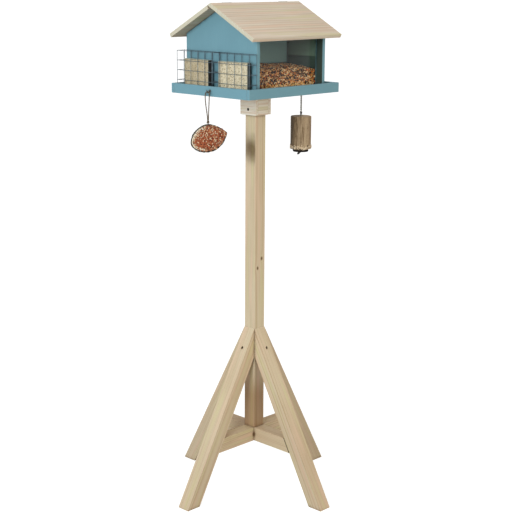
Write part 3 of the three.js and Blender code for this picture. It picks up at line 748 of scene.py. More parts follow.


def painted(name, along, inside=False, tone=BLUE_COAT):
    """A blue-green coat brushed along the board. inside paints shade on faces that look into the house."""
    net = surface(name, Specular_IOR_Level=0.25)
    where = net.where()
    mapped = net.node("Mapping", {"Vector": where, "Rotation": [math.radians(v) for v in along]})[0]
    coat = net.use(BRUSHED, Vector=mapped, Tone=tone)
    worn = net.use(RUBBED_EDGE, Vector=where, Radius=0.001, Amount=0.7)["Mask"]
    colour = net.colour(worn, coat["Color"], BARE_WOOD)
    if inside:
        place = net.split(where)
        outdoors = net.fade(net.math("ABSOLUTE", place["Y"]), PANE_INNER, PANE_INNER + SOFT_EDGE[1])
        inward = net.fall(place["X"] * net.facing()["X"], -0.1, -0.06)
        dark_below = net.fall(place["Z"], DARK_BELOW - SOFT_EDGE[0], DARK_BELOW)
        # painted shade on faces inside the house, darkest in front of the pane; darker low down
        kept = net.colour(net.most(outdoors, dark_below), SHADED_INSIDE_COAT, INSIDE_DARKEST)
        colour = net.colour(inward, colour, kept)
    # painted shade in the corners and joints
    corner_shade = net.use(CORNER_SHADE, Vector=where, Amount=0.75)["Mask"]
    net.give(
        Base_Color=net.colour(corner_shade, colour, PAINT_SHADE), Roughness=coat["Roughness"],
        Normal=net.bump(coat["Height"], 0.00018, 0.7),
    )


painted("gable paint", UPRIGHT, inside=True)
painted("long rim paint", ALONG_X)
painted("short rim paint", ALONG_Y)
dress(named("gable_"), "gable paint")
dress(["rim_front", "rim_back"], "long rim paint")
dress(["rim_left", "rim_right"], "short rim paint")
print("painted boards: 6")

# %% [markdown]
# The roof is raw pine. Its boards are cut across at both ends of the house, and there the
# end grain shows: paler, rougher, and with the rings as arcs instead of stripes. The same
# three-dimensional rings give those arcs by themselves. Only the tone has to change, so the
# material asks which way the face looks and lightens what looks along the grain.
# %% Roof boards
END_GRAIN = paint(204, 198, 176)
# the colour of painted shade under the lid
UNDER_SHADE = (0.70, 0.72, 0.68, 1.0)


def ends_of_boards(net, where, colour):
    """Lightens the faces that look along X, and paints shade on the lid's underside."""
    facing = net.facing()
    behind = net.math("GREATER_THAN", net.split(where)["Y"], 0.0)
    # painted shade on the lid's underside
    colour = net.stain(behind * net.fall(facing["Z"], -0.4, -0.3), colour, UNDER_SHADE)
    speck = net.noise(where, 900.0)
    pale = net.colour(net.fade(speck, 0.35, 0.7, 0.0, 0.4), END_GRAIN, colour)
    return net.colour(net.fade(net.math("ABSOLUTE", facing["X"]), 0.6, 0.9, 0.0, 0.85), colour, pale)


roof = {
    "early": paint(228, 213, 195), "late": paint(181, 149, 117), "figure": 0.5, "extra": ends_of_boards,
}
pine("front roof pine", ["roof_front"], ALONG_X, (0.0, 0.11, 0.0), ring=9 * MM, **roof)
pine("lid pine", ["roof_lid"], ALONG_X, (0.1, -0.12, 0.0), ring=8 * MM, **roof)
print("roof boards: 2")

# %% [markdown]
# The panes are clear acrylic sheet. A Principled shader with full transmission gives its gloss
# and its bend of light, but it would also throw a dark shadow, since a path tracer can't aim
# light through a bent ray. So rays that look for light pass straight through, which Light Path
# tells apart. Dust and fine scratches are what make a clear pane visible at all.
# %% Clear panes
CLEAR, DUSTY = paint(251, 253, 253), paint(243, 248, 248)
net = surface("clear acrylic", IOR=1.2, Transmission_Weight=1.0)
where = net.where()
scratch = net.noise(where * (0.12, 1.0, 1.0), 900.0)
smear = net.noise(where, 22.0, 4.0, 0.65)
net.give(
    Base_Color=net.colour(net.fade(smear, 0.3, 0.8), CLEAR, DUSTY),
    Roughness=net.fade(smear, 0.35, 0.8, 0.0, 0.02), Normal=net.bump(scratch, 0.00002, 0.3),
)
through = net.node("BsdfTransparent", {"Color": CLEAR})[0]
shadow = net.node("LightPath")["Is Shadow Ray"]
net.put(net.end, net.node("MixShader", {0: shadow, 1: net.shader, 2: through})[0])
dress(["pane_front", "pane_back"], "clear acrylic", eased=0.3 * MM)
print("panes: 2")

# %% [markdown]
# The metal parts are small and seen from a step away, so one recipe does for zinc plate, black
# screws and the wires of cages and hangers. Bare metal is never one grey. It is duller where
# it was handled, and pitted all over; wire that weather has dulled reflects like a paint.
# %% Metal finishes
TARNISH = net = effect(
    "tarnish",
    {"Vector": NOWHERE, "Clean": (0.6, 0.6, 0.6, 1.0), "Dull": (0.3, 0.3, 0.3, 1.0), "Spread": 0.5},
    {"Color": 4, "Roughness": 1, "Height": 1},
)
cloud = net.noise(net.given["Vector"], 130.0, 4.0, 0.6)
pit = net.noise(net.given["Vector"], 1900.0)
dull = net.fade(cloud, 0.35, 0.7) * net.given["Spread"]
net.give(
    Color=net.colour(dull, net.given["Clean"], net.given["Dull"]),
    Roughness=net.fade(cloud + pit * 0.3, 0.4, 0.9, 0.28, 0.55), Height=pit,
)
METALS = {  # clean colour, dull colour, metallic
    "zinc plate": ((178, 178, 172), (120, 122, 120), 1.0),
    # the hooks' steel is dulled and also darkened, as painted shade
    "dull hook": ((92, 94, 90), (46, 48, 46), 0.8),
    "black screw": ((58, 54, 50), (34, 32, 30), 1.0),
    "cage wire grey": ((88, 106, 116), (56, 70, 78), 0.4),
    "galvanised wire": ((186, 186, 182), (112, 110, 106), 0.3),
    "dark wire": ((50, 42, 36), (24, 20, 18), 0.0),
}
for name, (clean, dull, metallic) in METALS.items():
    net = surface(name, Metallic=metallic)
    coat = net.use(TARNISH, Vector=net.where(), Clean=paint(*clean), Dull=paint(*dull), Spread=0.6)
    net.give(
        Base_Color=coat["Color"], Roughness=coat["Roughness"],
        Normal=net.bump(coat["Height"], 0.00004, 0.5),
    )
dress(named("hinge_"), "zinc plate", eased=0.25 * MM)
dress(named("cage_staple"), "zinc plate", eased=0.15 * MM)
print("metal parts kept:", len(named("hinge_") + named("cage_staple")))

# %% [markdown]
# A wood screw shows only its head, but a cross recess is what makes a disc a screw. The whole
# screw is turned on the lathe from its tip to the middle of its head, with a thread of small
# ridges, and the points of the head that fall inside either arm of the cross then sink.
# %% Screws
HEAD_HEIGHT = 2.4 * MM
HEAD_EDGE = 0.5 * MM
HEAD_ROWS = 12
HEAD_SIDES = 48
RECESS_DEPTH = 1.3 * MM
RECESS_ARM, RECESS_REACH = 0.14, 0.62  # half the arm's width and its length, to the head's radius
THREAD_PITCH = 2.2 * MM
SCREW_TIP = 3 * MM
SCREW_OUT = {  # the way that each head looks
    "leg_screw_right": (1, 0, 0), "leg_screw_left": (-1, 0, 0), "leg_screw_back": (0, 1, 0),
    "leg_screw_front": (0, -1, 0), "collar_screw_right": (1, 0, 0), "collar_screw_left": (-1, 0, 0),
    "floor_screw": (0, 0, 1), "post_foot_screw": (0, 0, -1),
}


def screw_mesh(head, shank, length):
    """A screw along Z, from the radii of its head and its shank, with its head's top at zero."""
    shares = np.arange(HEAD_ROWS + 1) / HEAD_ROWS
    profile = [(head * share, -0.12 * head * share ** 3) for share in shares]
    profile += [(head, -HEAD_EDGE), (shank, -HEAD_HEIGHT)]
    turns = np.arange(-HEAD_HEIGHT - THREAD_PITCH / 2, SCREW_TIP - length, -THREAD_PITCH / 2)
    profile += [(shank * (0.72 if row % 2 else 1.0), height) for row, height in enumerate(turns)]
    profile += [(0.3 * shank, -length)]
    points, faces = lathe(profile[::-1], HEAD_SIDES)
    faces.append(tuple(reversed(range(HEAD_SIDES))))
    flat = np.abs(points[:, :2])
    sunk = (flat.min(1) < RECESS_ARM * head) & (np.linalg.norm(flat, axis=1) < RECESS_REACH * head)
    points[sunk & (points[:, 2] > -HEAD_EDGE), 2] -= RECESS_DEPTH
    return points, faces


for node, facing in SCREW_OUT.items():
    low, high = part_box(node)
    facing = Vector(facing)
    size = high - low
    length = abs(size @ facing)
    head = min(size) / 2
    top = Matrix.Translation((low + high) / 2 + facing * length / 2)
    points, faces = screw_mesh(head, head / 2, length)
    points = moved(points, top @ facing.to_track_quat("Z", "Y").to_matrix().to_4x4())
    piece(f"{node}_cross_head", (points, faces), "table", "black screw", replaces=[node])
print("screws:", len(SCREW_OUT))

# %% [markdown]
# Each cup hook is one bent wire behind a small flange that stops it at the rim. The bend is a
# half circle, so its path is worked out from the radius, and the sweep helper does the rest.
# The tip is drawn in over its last rings, because a cut wire is rounded so that it can't tear.
# %% Cup hooks
HOOK_WIRE = 1.25 * MM
HOOK_BEND = 4.5 * MM
HOOK_HEIGHT = 1182.0 * MM
HOOK_TIP = 4.0 * MM
FLANGE = [(0, 0), (4, 0), (4, 0.4), (3.2, 0.85), (0, 1)]  # radius and height, mm
FLANGE_AT = 178.95 * MM

for side, node in ((-1, "hook_left"), (1, "hook_right")):
    root = min(abs(corner.x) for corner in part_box(node))
    middle = abs(HOOK_SEAT)
    path = [(x, HOOK_HEIGHT) for x in (root, root + 5 * MM, middle - HOOK_BEND - 1 * MM)]
    for angle in np.linspace(math.pi, 2 * math.pi, 17):
        path.append((middle + HOOK_BEND * math.cos(angle), HOOK_HEIGHT + HOOK_BEND * math.sin(angle)))
    path += [(middle + HOOK_BEND, HOOK_HEIGHT + share * HOOK_TIP) for share in (0.4, 0.8, 0.95, 1.0)]
    radii = [HOOK_WIRE] * (len(path) - 2) + [0.8 * HOOK_WIRE, 0.35 * HOOK_WIRE]
    wire = sweep([(side * x, HOOK_ASIDE, z) for x, z in path], radii, 16)
    points, faces = lathe([(radius * MM, height * MM) for radius, height in FLANGE], 32)
    rim_face = Matrix.Translation((side * FLANGE_AT, HOOK_ASIDE, HOOK_HEIGHT)) @ turn(90 * side, "Y")
    bent = together(wire, (moved(points, rim_face), faces))
    piece(f"{node}_bent", bent, "table", "dull hook", replaces=[node])
print("hook bend: %.1f mm" % (HOOK_BEND / MM))

# %% [markdown]
# The suet cages are cut from welded mesh: round wires in two directions, joined where they
# cross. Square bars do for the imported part, but a round wire carries a line of light. Every
# wire is a short sweep between two points, and a small bead sits at each weld.
# %% Welded cages
CAGE_WIRE = 0.7 * MM  # half its thickness
CAGE_COLUMNS = 5
CAGE_ROWS = 4
WELD_BEAD = 0.95 * MM
BEAD_ANGLES = np.linspace(-1.1, 1.1, 5)

bead_side = [(WELD_BEAD * math.cos(angle), WELD_BEAD * math.sin(angle)) for angle in BEAD_ANGLES]
bead = lathe([(0, -WELD_BEAD)] + bead_side + [(0, WELD_BEAD)], 8)


def cage_mesh(low, high):
    """The wires of a cage whose wires' middles lie in this box."""
    (x0, y0, z0), (x1, y1, z1) = low, high
    wires, beads = [], []
    rows = np.linspace(z0, z1, CAGE_ROWS + 1)
    columns = np.linspace(y0, y1, CAGE_COLUMNS + 1)
    for z in rows:
        wires += [((x, y0, z), (x, y1, z)) for x in (x0, x1)]
        wires += [((x0, y, z), (x1, y, z)) for y in (y0, y1)]
    for x in (x0, x1):
        wires += [((x, y, z0), (x, y, z1)) for y in columns]
        beads += [(x, y, z) for y in columns for z in rows]
    wires += [((x0, y, z0), (x1, y, z0)) for y in columns[1:-1]]
    made = []
    for start, end in np.array(wires):
        over = unit(end - start) * CAGE_WIRE * 0.6
        made.append(sweep([start - over, (start + end) / 2, end + over], CAGE_WIRE, 8))
    made += [(bead[0] + np.array(place), bead[1]) for place in beads]
    return together(*made)


for name in ("cage_back", "cage_front"):
    low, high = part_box(name)
    inset = Vector((CAGE_WIRE,) * 3)
    mesh = cage_mesh(low + inset, high - inset)
    piece(f"{name}_welded", mesh, "table", "cage wire grey", replaces=[name])
print("cage mesh: %.1f mm apart" % ((high.y - low.y - 2 * CAGE_WIRE) / CAGE_COLUMNS / MM))

# %% [markdown]
# Suet, coconut and seed log are all crumbly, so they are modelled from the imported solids: a
# voxel remesh covers a solid with small even faces, and each point then moves along its own
# normal by noise. The noise is read in the piece's own place, so it is the same each time.
# %% Crumbly shapes from solids
def lumps(points, size, octaves=3):
    """Smooth noise from about -1 to 1 at each point, with lumps of about that size."""
    return np.array([noise.fractal(Vector(point) / size, 1.0, 2.0, octaves) for point in points])


def remeshed(node, voxel, rounds):
    """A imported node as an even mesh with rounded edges: its points, their normals, its faces."""
    source = shown("even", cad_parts[node].data)
    even = source.modifiers.new("even", "REMESH")
    even.mode = "VOXEL"
    even.voxel_size = voxel
    mesh = bpy.data.meshes.new_from_object(source.evaluated_get(bpy.context.evaluated_depsgraph_get()))
    points = np.array([vertex.co for vertex in mesh.vertices])
    normals = np.array([vertex.normal for vertex in mesh.vertices])
    faces = [tuple(face.vertices) for face in mesh.polygons]
    bpy.data.objects.remove(source)
    bpy.data.meshes.remove(mesh)
    pairs = np.array([pair for face in faces for pair in zip(face, face[1:] + face[:1])])
    ends, others = pairs.T.ravel(), pairs[:, ::-1].T.ravel()
    count = np.bincount(ends, minlength=len(points))[:, None]
    for _ in range(rounds):
        total = np.zeros_like(points)
        np.add.at(total, ends, points[others])
        points = 0.5 * points + 0.5 * total / count
    return points, normals, faces


print("crumbly shapes ready")

# %% [markdown]
# Loose food is thousands of small bodies, and the eye counts them. A few kernel shapes, each
# only some dozen faces, are copied many times with their own size, turn and tone, all into
# one mesh. Each point carries a tone number, and the material turns that into a colour.
# %% Kernels and crumbs
GRAIN = lathe([(0, -0.5), (0.24, -0.36), (0.36, -0.05), (0.3, 0.26), (0.13, 0.45), (0, 0.5)], 7)
MILLET = lathe([(0, -0.5), (0.36, -0.36), (0.5, 0.0), (0.36, 0.36), (0, 0.5)], 7)


def crumb_shape(seed):
    """A small broken crumb about one unit across."""
    shape = bmesh.new()
    bmesh.ops.create_icosphere(shape, subdivisions=1, radius=0.5)
    rng = np.random.default_rng(seed)
    points = np.array([vertex.co for vertex in shape.verts])
    points *= rng.uniform(0.55, 1.0, (len(points), 1)) * rng.uniform(0.7, 1.1, 3)
    faces = [tuple(vertex.index for vertex in face.verts) for face in shape.faces]
    shape.free()
    return points, faces


CRUMBS = [crumb_shape(seed) for seed in range(3)]


def random_turns(rng, count):
    """Random turns as matrices, made from random quaternions."""
    w, x, y, z = unit(rng.normal(size=(count, 4))).T
    return np.stack([
        stacked(1 - 2 * (y * y + z * z), 2 * (x * y - z * w), 2 * (x * z + y * w)),
        stacked(2 * (x * y + z * w), 1 - 2 * (x * x + z * z), 2 * (y * z - x * w)),
        stacked(2 * (x * z - y * w), 2 * (y * z + x * w), 1 - 2 * (x * x + y * y)),
    ], 1)


print("kernel shapes:", 2 + len(CRUMBS))

# %% [markdown]
# A mixture gathers the body that the food lies on and all the copies of its kernels. As single
# objects they would be thousands, so they become one mesh, with a tone for each point. Its
# random numbers start from a fixed seed, and so it comes out the same each time.
# %% Mixtures of kernels
class Mixture:
    """Kernels of several kinds that become one piece, each with its tone."""

    def __init__(self, seed, mesh, tone):
        self.rng = np.random.default_rng(seed)
        self.meshes, self.tones = [], []
        self.base(mesh, tone)

    def base(self, mesh, tone):
        """Adds a body that the kernels lie on."""
        self.meshes.append(mesh)
        self.tones.append(np.broadcast_to(tone, len(mesh[0])))

    def add(self, shape, places, size, tones):
        """Adds copies of one shape. size is in mm."""
        count = len(places)
        sizes = np.array(size) * MM * (1 + 0.25 * self.rng.uniform(-1, 1, (count, 1)))
        turns = random_turns(self.rng, count)
        points = np.einsum("nij,nkj->nki", turns, shape[0] * sizes[:, None]) + places[:, None]
        starts = np.arange(count) * len(shape[0])
        faces = [tuple(start + corner for corner in face) for start in starts for face in shape[1]]
        self.meshes.append((points.reshape(-1, 3), faces))
        self.tones.append(np.repeat(self.rng.uniform(*tones, count), len(shape[0])))

    def made(self):
        """The mesh, and the tone of each of its points."""
        return together(*self.meshes), np.concatenate(self.tones)


print("mixture words: base, add, made")

# %% [markdown]
# One scale of tones colours every kind of kernel. A Color Ramp turns the tone into a colour,
# a little noise keeps two neighbours apart, and the same noise roughens the surface.
# %% Colours of food
DARK_GRIT = paint(60, 40, 24)


def toned(name, stops, roughness=(0.45, 0.75), grit=700.0, relief=0.0002, mottle=0.25):
    """A finish whose colour follows the tone of each kernel. stops are (tone, colour)."""
    net = surface(name, Specular_IOR_Level=0.3)
    ramp = net.node("ValToRGB", {0: net.tone()})[0]
    elements = ramp.socket.node.color_ramp.elements
    while len(elements) < len(stops):
        elements.new(0.5)
    for element, (tone, colour) in zip(elements, stops):
        element.position = tone
        element.color = paint(*colour)
    rough = net.noise(net.where(), grit, 3.0, 0.6)
    net.give(
        Base_Color=net.stain(net.fade(rough, 0.3, 0.75, 0.0, mottle), ramp, DARK_GRIT),
        Roughness=net.fade(rough, 0.2, 0.8, *roughness), Normal=net.bump(rough, relief, 0.6),
    )


toned("mixed seed", [
    (0.0, (16, 8, 4)), (0.08, (122, 68, 30)), (0.2, (190, 116, 56)), (0.3, (226, 150, 80)),
    (0.46, (240, 178, 108)), (0.5, (184, 132, 82)), (0.62, (255, 218, 166)), (0.66, (20, 9, 4)),
    (0.78, (52, 24, 10)), (0.84, (170, 70, 22)), (0.98, (214, 108, 36)),
])
toned("chopped nuts", [
    (0.0, (72, 38, 26)), (0.18, (136, 66, 40)), (0.3, (176, 92, 56)), (0.5, (204, 126, 84)),
    (0.62, (208, 156, 114)), (0.8, (226, 192, 156)), (1.0, (238, 214, 184)),
], roughness=(0.35, 0.6))
toned("pressed log", [
    (0.0, (46, 34, 24)), (0.1, (84, 66, 46)), (0.3, (134, 110, 82)), (0.5, (176, 150, 120)),
    (0.66, (194, 168, 136)), (0.8, (224, 198, 166)), (1.0, (246, 224, 194)),
], roughness=(0.55, 0.8), grit=420.0, relief=0.0003, mottle=0.22)
print("food colours: 3")

# %% [markdown]
# The hopper is filled with a mixed seed, and some has run out under the panes into the tray.
# Filling the box with kernels would hide nearly all of them, so a rough core takes the room,
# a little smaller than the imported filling, and kernels lie only over its faces. Wheat, millet,
# sunflower hearts, dark seed and kibbled maize each have a place on the scale of tones.
# %% Places for the seed
SEED_STEP = 4.0 * MM
SEED_IN = 1.6 * MM  # kernels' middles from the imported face
PANE_FACE = 111.2 * MM
PANE_GAP = 2 * MM  # from a pane to the middles of the kernels behind it
SPILL_HEIGHT = 1190.7 * MM
SPILL_FALL = 5.0 * MM
SPILL_SLOPE = 114.5 * MM  # from the post's axis, where the spilt seed starts to fall
SPILL_FROM, SPILL_TO = -116.748 * MM, 104.328 * MM
LOWEST_ROW = 7 * MM  # high, of paler seed that shows through the gap under a pane
MOUND_EDGE = 1240.0 * MM
MOUND_RISE = 11.0 * MM
MOUND_SHARES = [(-1, 0), (-0.5, 0.7), (0, 1), (0.5, 0.95), (1, 0.6)]


def grid(first, second, rng, jitter=0.45):
    """Places on a jittered grid of two ranges, as two arrays."""
    ranges = [np.arange(*limits, SEED_STEP) for limits in (first, second)]
    places = [axis.ravel() for axis in np.meshgrid(*ranges, indexing="ij")]
    return [axis + rng.uniform(-jitter, jitter, axis.shape) * SEED_STEP for axis in places]


def mound(y):
    """The height of the filling between the panes."""
    across, rise = zip(*MOUND_SHARES)
    return MOUND_EDGE + MOUND_RISE * np.interp(y / PANE_FACE, across, rise)


rng = np.random.default_rng(11)
seed_low, seed_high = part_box("seed_fill")
inner_x = seed_high.x - SEED_IN
near, far = SPILL_FROM + SEED_IN, SPILL_TO - SEED_IN
held, spilt = [], []
for side in (-1, 1):
    x, z = grid((-inner_x, inner_x), (SPILL_HEIGHT, float(mound(side * PANE_FACE)) - SEED_IN), rng)
    against_pane = stacked(x, side * (PANE_FACE - PANE_GAP), z)
    lowest = z < SPILL_HEIGHT + LOWEST_ROW
    held.append(against_pane[~lowest])
    spilt.append(against_pane[lowest])
    x, y = grid((near, far), (PANE_FACE + 1 * MM, seed_high.y - SEED_IN), rng)
    fall = SPILL_FALL * np.clip((y - SPILL_SLOPE) / (seed_high.y - SPILL_SLOPE), 0, 1)
    heap = lumps(stacked(x, y * side, 0.0), 22 * MM, 2) * 1.1 * MM
    spilt.append(stacked(x, side * y, SPILL_HEIGHT - fall - SEED_IN + heap))
x, y = grid((-inner_x, inner_x), (PANE_GAP - PANE_FACE, PANE_FACE - PANE_GAP), rng)
heap = lumps(stacked(x, y, 0.0), 30 * MM, 2) * 1.4 * MM
held.append(stacked(x, y, mound(y) - SEED_IN + heap))
held, spilt = np.concatenate(held), np.concatenate(spilt)
print("places:", len(held), "behind the panes and", len(spilt), "in the tray")

# %% [markdown]
# The core is a low profile drawn along the house, and another at each side carries the seed in
# the tray. Its tone is dark, as painted shade in the gaps between kernels, so that they look deep.
# %% Core of the seed
CORE_IN = 2.8 * MM
# painted shade in the gaps between kernels
CORE_SHADE_TONE = 0.02
CORE_FOOT = 0.3 * MM
CORE_EDGE = 0.6 * MM
CORE_LAP = 3 * MM  # of the outer cores under the middle one


def core(profile, x0, x1):
    """A profile in Y and Z drawn along X."""
    count = len(profile)
    points = [(x, y, z) for x in (x0, x1) for y, z in profile]
    faces = [tuple(range(count - 1, -1, -1)), tuple(range(count, 2 * count))]
    for side in range(count):
        after = (side + 1) % count
        faces.append((side, after, count + after, count + side))
    return np.array(points), faces


foot = seed_low.z + CORE_FOOT
wall = PANE_FACE - CORE_IN
ridge = [(y, float(mound(y)) - CORE_IN) for y in np.linspace(wall, -wall, 21)]
seed_mix = Mixture(12, core([(-wall, foot), (wall, foot)] + ridge, -inner_x, inner_x), CORE_SHADE_TONE)
spill_top = SPILL_HEIGHT - CORE_IN
outer, inner = seed_high.y - CORE_EDGE, wall - CORE_LAP
for side in (-1, 1):
    corners = [(inner, foot), (outer, foot), (outer, spill_top - SPILL_FALL), (inner, spill_top)]
    profile = [(side * y, z) for y, z in corners[::side]]
    seed_mix.base(core(profile, near, far), CORE_SHADE_TONE)
print("core top:", round(max(z for _, z in ridge) / MM))

# %% [markdown]
# Now the places are shared out among the kinds of seed. The front half of the filling falls
# from one gable to the other, as the photo shows. No kernel sticks through a pane, and all of
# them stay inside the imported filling's box.
# %% Seed in the hopper
MOUND_TILT = 9.0 * MM
TILT_FROM = 1215 * MM
TILT_FRONT = 3 * MM  # over this length from the post's axis the fall sets in
BEHIND_PANE = 114 * MM
PANE_SKIN = 0.1 * MM  # between a pane and the nearest kernel
HELD_KINDS = [  # share, shape, size in mm, tones
    (0.28, GRAIN, (4.0, 3.6, 7.6), (0.10, 0.30)),
    (0.16, MILLET, (4.0, 4.0, 4.2), (0.30, 0.48)),
    (0.18, GRAIN, (5.6, 3.4, 9.0), (0.50, 0.62)),
    (0.28, GRAIN, (5.0, 3.4, 8.8), (0.66, 0.78)),
    (0.10, CRUMBS[0], (6.4, 5.6, 5.6), (0.84, 0.98)),
]
SPILT_KINDS = [
    (0.55, GRAIN, (5.0, 3.6, 8.0), (0.55, 0.62)),
    (0.25, MILLET, (4.0, 4.0, 4.2), (0.34, 0.48)),
    (0.12, GRAIN, (4.6, 3.4, 8.0), (0.70, 0.78)),
    (0.08, CRUMBS[0], (6.0, 5.6, 5.6), (0.84, 0.98)),
]

for places, kinds in ((held, HELD_KINDS), (spilt, SPILT_KINDS)):
    rng.shuffle(places)
    ends = np.cumsum([int(kind[0] * len(places)) for kind in kinds])
    for (_, shape, size, tones), chosen in zip(kinds, np.split(places, ends)):
        seed_mix.add(shape, chosen, size, tones)
(points, faces), tones = seed_mix.made()
x, y, z = points.T
level = np.clip((z - TILT_FROM) / (MOUND_EDGE - TILT_FROM), 0, 1)
z = z - MOUND_TILT * (x / inner_x + 1) / 2 * np.clip(-y / TILT_FRONT, 0, 1) * level
behind = (z > SPILL_HEIGHT) & (np.abs(y) < BEHIND_PANE)
y = np.where(behind, np.clip(y, PANE_SKIN - PANE_FACE, PANE_FACE - PANE_SKIN), y)
points = np.clip(stacked(x, y, z), seed_low, seed_high)
piece("seed_fill_kernels", (points, faces), "table", "mixed seed", replaces=["seed_fill"],
      tone=tones)
print("kernels:", len(held) + len(spilt), "top", round(seed_high.z / MM))

# %% [markdown]
# Behind the front pane a board crosses the hopper from gable to gable and parts it in two, so
# that seed put in on one side stays there. The photo shows its end as an upright line against
# the far gable. Only its part above the seed is made, since the rest is hidden in the filling.
# %% Board across the hopper
DIVIDER_FRONT = -3 * MM  # from the post's axis
DIVIDER_THICK = 6 * MM
DIVIDER_TOP = 1384 * MM
DIVIDER_SUNK = 18 * MM  # in the seed
DIVIDER_GAP = 0.3 * MM  # at each gable

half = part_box("gable_right")[0].x - DIVIDER_GAP
foot = float(mound(DIVIDER_FRONT)) - DIVIDER_SUNK
section = [(y, z) for y, z in (
    (DIVIDER_FRONT, foot), (DIVIDER_FRONT + DIVIDER_THICK, foot),
    (DIVIDER_FRONT + DIVIDER_THICK, DIVIDER_TOP), (DIVIDER_FRONT, DIVIDER_TOP),
)]
divider = piece(
    "hopper_divider", core(section, -half, half), "table", "divider paint", smooth=False,
)
rounded_edges(divider, EASED)
painted("divider paint", ALONG_X, tone=paint(111, 139, 145))
print("divider length: %.0f mm" % (2 * half / MM))

# %% [markdown]
# Each suet cake is pressed in a thin black tray, and the trays stand a little askew in the
# cages. The tray is vacuum-formed, so it keeps its imported shape with eased edges. Its faces
# that look forward and up are pale, and its sides look black.
# %% Black trays
dress(["suet_dish_back", "suet_dish_front"], "black tray", eased=0.35 * MM)
net = surface("black tray", Specular_IOR_Level=0.5)
haze = net.noise(net.where(), 60.0, 4.0, 0.6)
black = net.colour(haze, paint(30, 28, 28), paint(56, 50, 48))
facing = net.facing()
# faces that look forward or up are pale
smeared = net.fade(net.most(facing["X"] * -1.0, facing["Z"]), 0.75, 0.9)
smeared = smeared * net.fade(haze, 0.25, 0.5, 0.6, 1.0)
net.give(
    Base_Color=net.colour(smeared, black, paint(206, 202, 178)),
    Roughness=net.fade(haze, 0.3, 0.7, 0.3, 0.5),
    Normal=net.bump(net.noise(net.where(), 800.0), 0.00005, 0.4),
)

print("trays:", len(named("suet_dish")))

# %% [markdown]
# The cake itself is fat and meal: pale, dull, and pitted where meal has fallen out. The pits are
# real dents, and the tone is darker in them as painted shade. The back cake is darker all over.
# %% Suet cakes
SUET_VOXEL = 1.3 * MM
SUET_PIT = 1.3 * MM
SUET_SWELL = 0.35 * MM

for place, paleness in (("back", 0.66), ("front", 1.0)):
    node = f"suet_cake_{place}"
    points, normals, faces = remeshed(node, SUET_VOXEL, 3)
    pits = np.clip(lumps(points, 3.2 * MM, 3) - 0.05, 0, 1)
    sunk = SUET_PIT * pits + SUET_SWELL * (1 + lumps(points, 16 * MM, 2))
    # the tone is darker in the pits, as painted shade
    piece(f"{node}_pressed", (points - normals * sunk[:, None], faces), f"suet_{place}", "pressed suet",
          replaces=[node], tone=np.clip(paleness - 0.7 * pits, 0, 1))

print("suet cakes: 2")

# %% [markdown]
# Meal and seed in the fat are flecks with hard edges, which cells give and noise doesn't. The
# group bends its place a little, so that no cell is straight. It picks some cells for meal and
# a few of these for dark seeds, and puts out the distance to each cell's middle as a relief.
# %% Pressed meal
FLECK = net = effect(
    "pressed meal", {"Vector": NOWHERE, "Scale": 260.0, "Amount": 0.5},
    {"Flecks": 1, "Seeds": 1, "Height": 1},
)
place, scale = net.given["Vector"], net.given["Scale"]
wander = net.node("TexNoise", {"Vector": place, "Scale": scale * 0.6})["Color"]
bent = place + wander * (0.002, 0.002, 0.002)
cells = net.node("TexVoronoi", {"Vector": bent, "Scale": scale})
chosen = net.node("SeparateColor", {0: cells["Color"]})[0]
net.give(
    Flecks=net.fade(chosen, 0.55, 0.75) * net.given["Amount"], Height=cells["Distance"],
    Seeds=net.fade(chosen, 0.9, 0.93) * net.fall(cells["Distance"], 0.35, 0.6),
)

net = surface("pressed suet", Specular_IOR_Level=0.3)
where = net.where()
meal = net.use(FLECK, Vector=where, Scale=420.0, Amount=0.6)
colour = net.colour(net.tone(), paint(150, 122, 82), paint(222, 207, 178))
colour = net.colour(meal["Flecks"], colour, paint(182, 162, 124))
net.give(
    Base_Color=net.colour(meal["Seeds"], colour, paint(92, 66, 42)),
    Roughness=net.fade(net.noise(where, 90.0), 0.3, 0.7, 0.5, 0.75),
    Normal=net.bump(meal["Height"], 0.0006, 0.5),
)
print("group:", FLECK.tree.name)

# %% [markdown]
# The half coconut has a frame of its own: X along the nut, Y across it, Z out of the open
# face. It hangs from a hole near its rim and swings until its balance point is below, which
# fixes how that frame lies in the table's. With the frame known, fibres can run along the
# nut, and the filling can be heaped over its face.
# %% Where the coconut hangs
NUT_HALF_LENGTH = 53 * MM
NUT_RADIUS = 38 * MM
NUT_POINT = 1.22
NUT_SHARPER = 0.28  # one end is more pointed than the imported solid's
NUT_DROOP = 6 * MM  # and its tip lies lower
NUT_HANG = (14 * MM, 6 * MM)  # along the nut, and behind its face
NUT_BALANCE = 13.9 * MM
NUT_FACING = math.radians(235)  # round from X
NUT_PLACE = Vector((HOOK_SEAT, HOOK_ASIDE, 1093.75 * MM))


def nut_half_width(along, inset=0.0):
    """Half the nut's width at a place along it."""
    share = np.clip(1 - (np.asarray(along) / (NUT_HALF_LENGTH - inset)) ** 2, 0, 1)
    return (NUT_RADIUS - inset) * share ** (NUT_POINT / 2)


def frame_of(forward, up):
    """A turn's matrix, whose rows are a direction made square to up, its left, and up."""
    forward = (forward - up * forward.dot(up)).normalized()
    return Matrix((forward, up.cross(forward), up))


hang_across = math.sqrt(nut_half_width(NUT_HANG[0]) ** 2 - NUT_HANG[1] ** 2)
hang = Vector((NUT_HANG[0], hang_across, -NUT_HANG[1]))
nut_up = (hang + Vector((0, 0, NUT_BALANCE))).normalized()
own = frame_of(Vector((0, 0, 1)), nut_up)
outside = frame_of(Vector((math.cos(NUT_FACING), math.sin(NUT_FACING), 0)), Vector((0, 0, 1)))
nut_turn = (outside.transposed() @ own).to_4x4()
from_nut = Matrix.Translation(NUT_PLACE) @ nut_turn @ Matrix.Translation(-hang)
to_nut = from_nut.inverted()


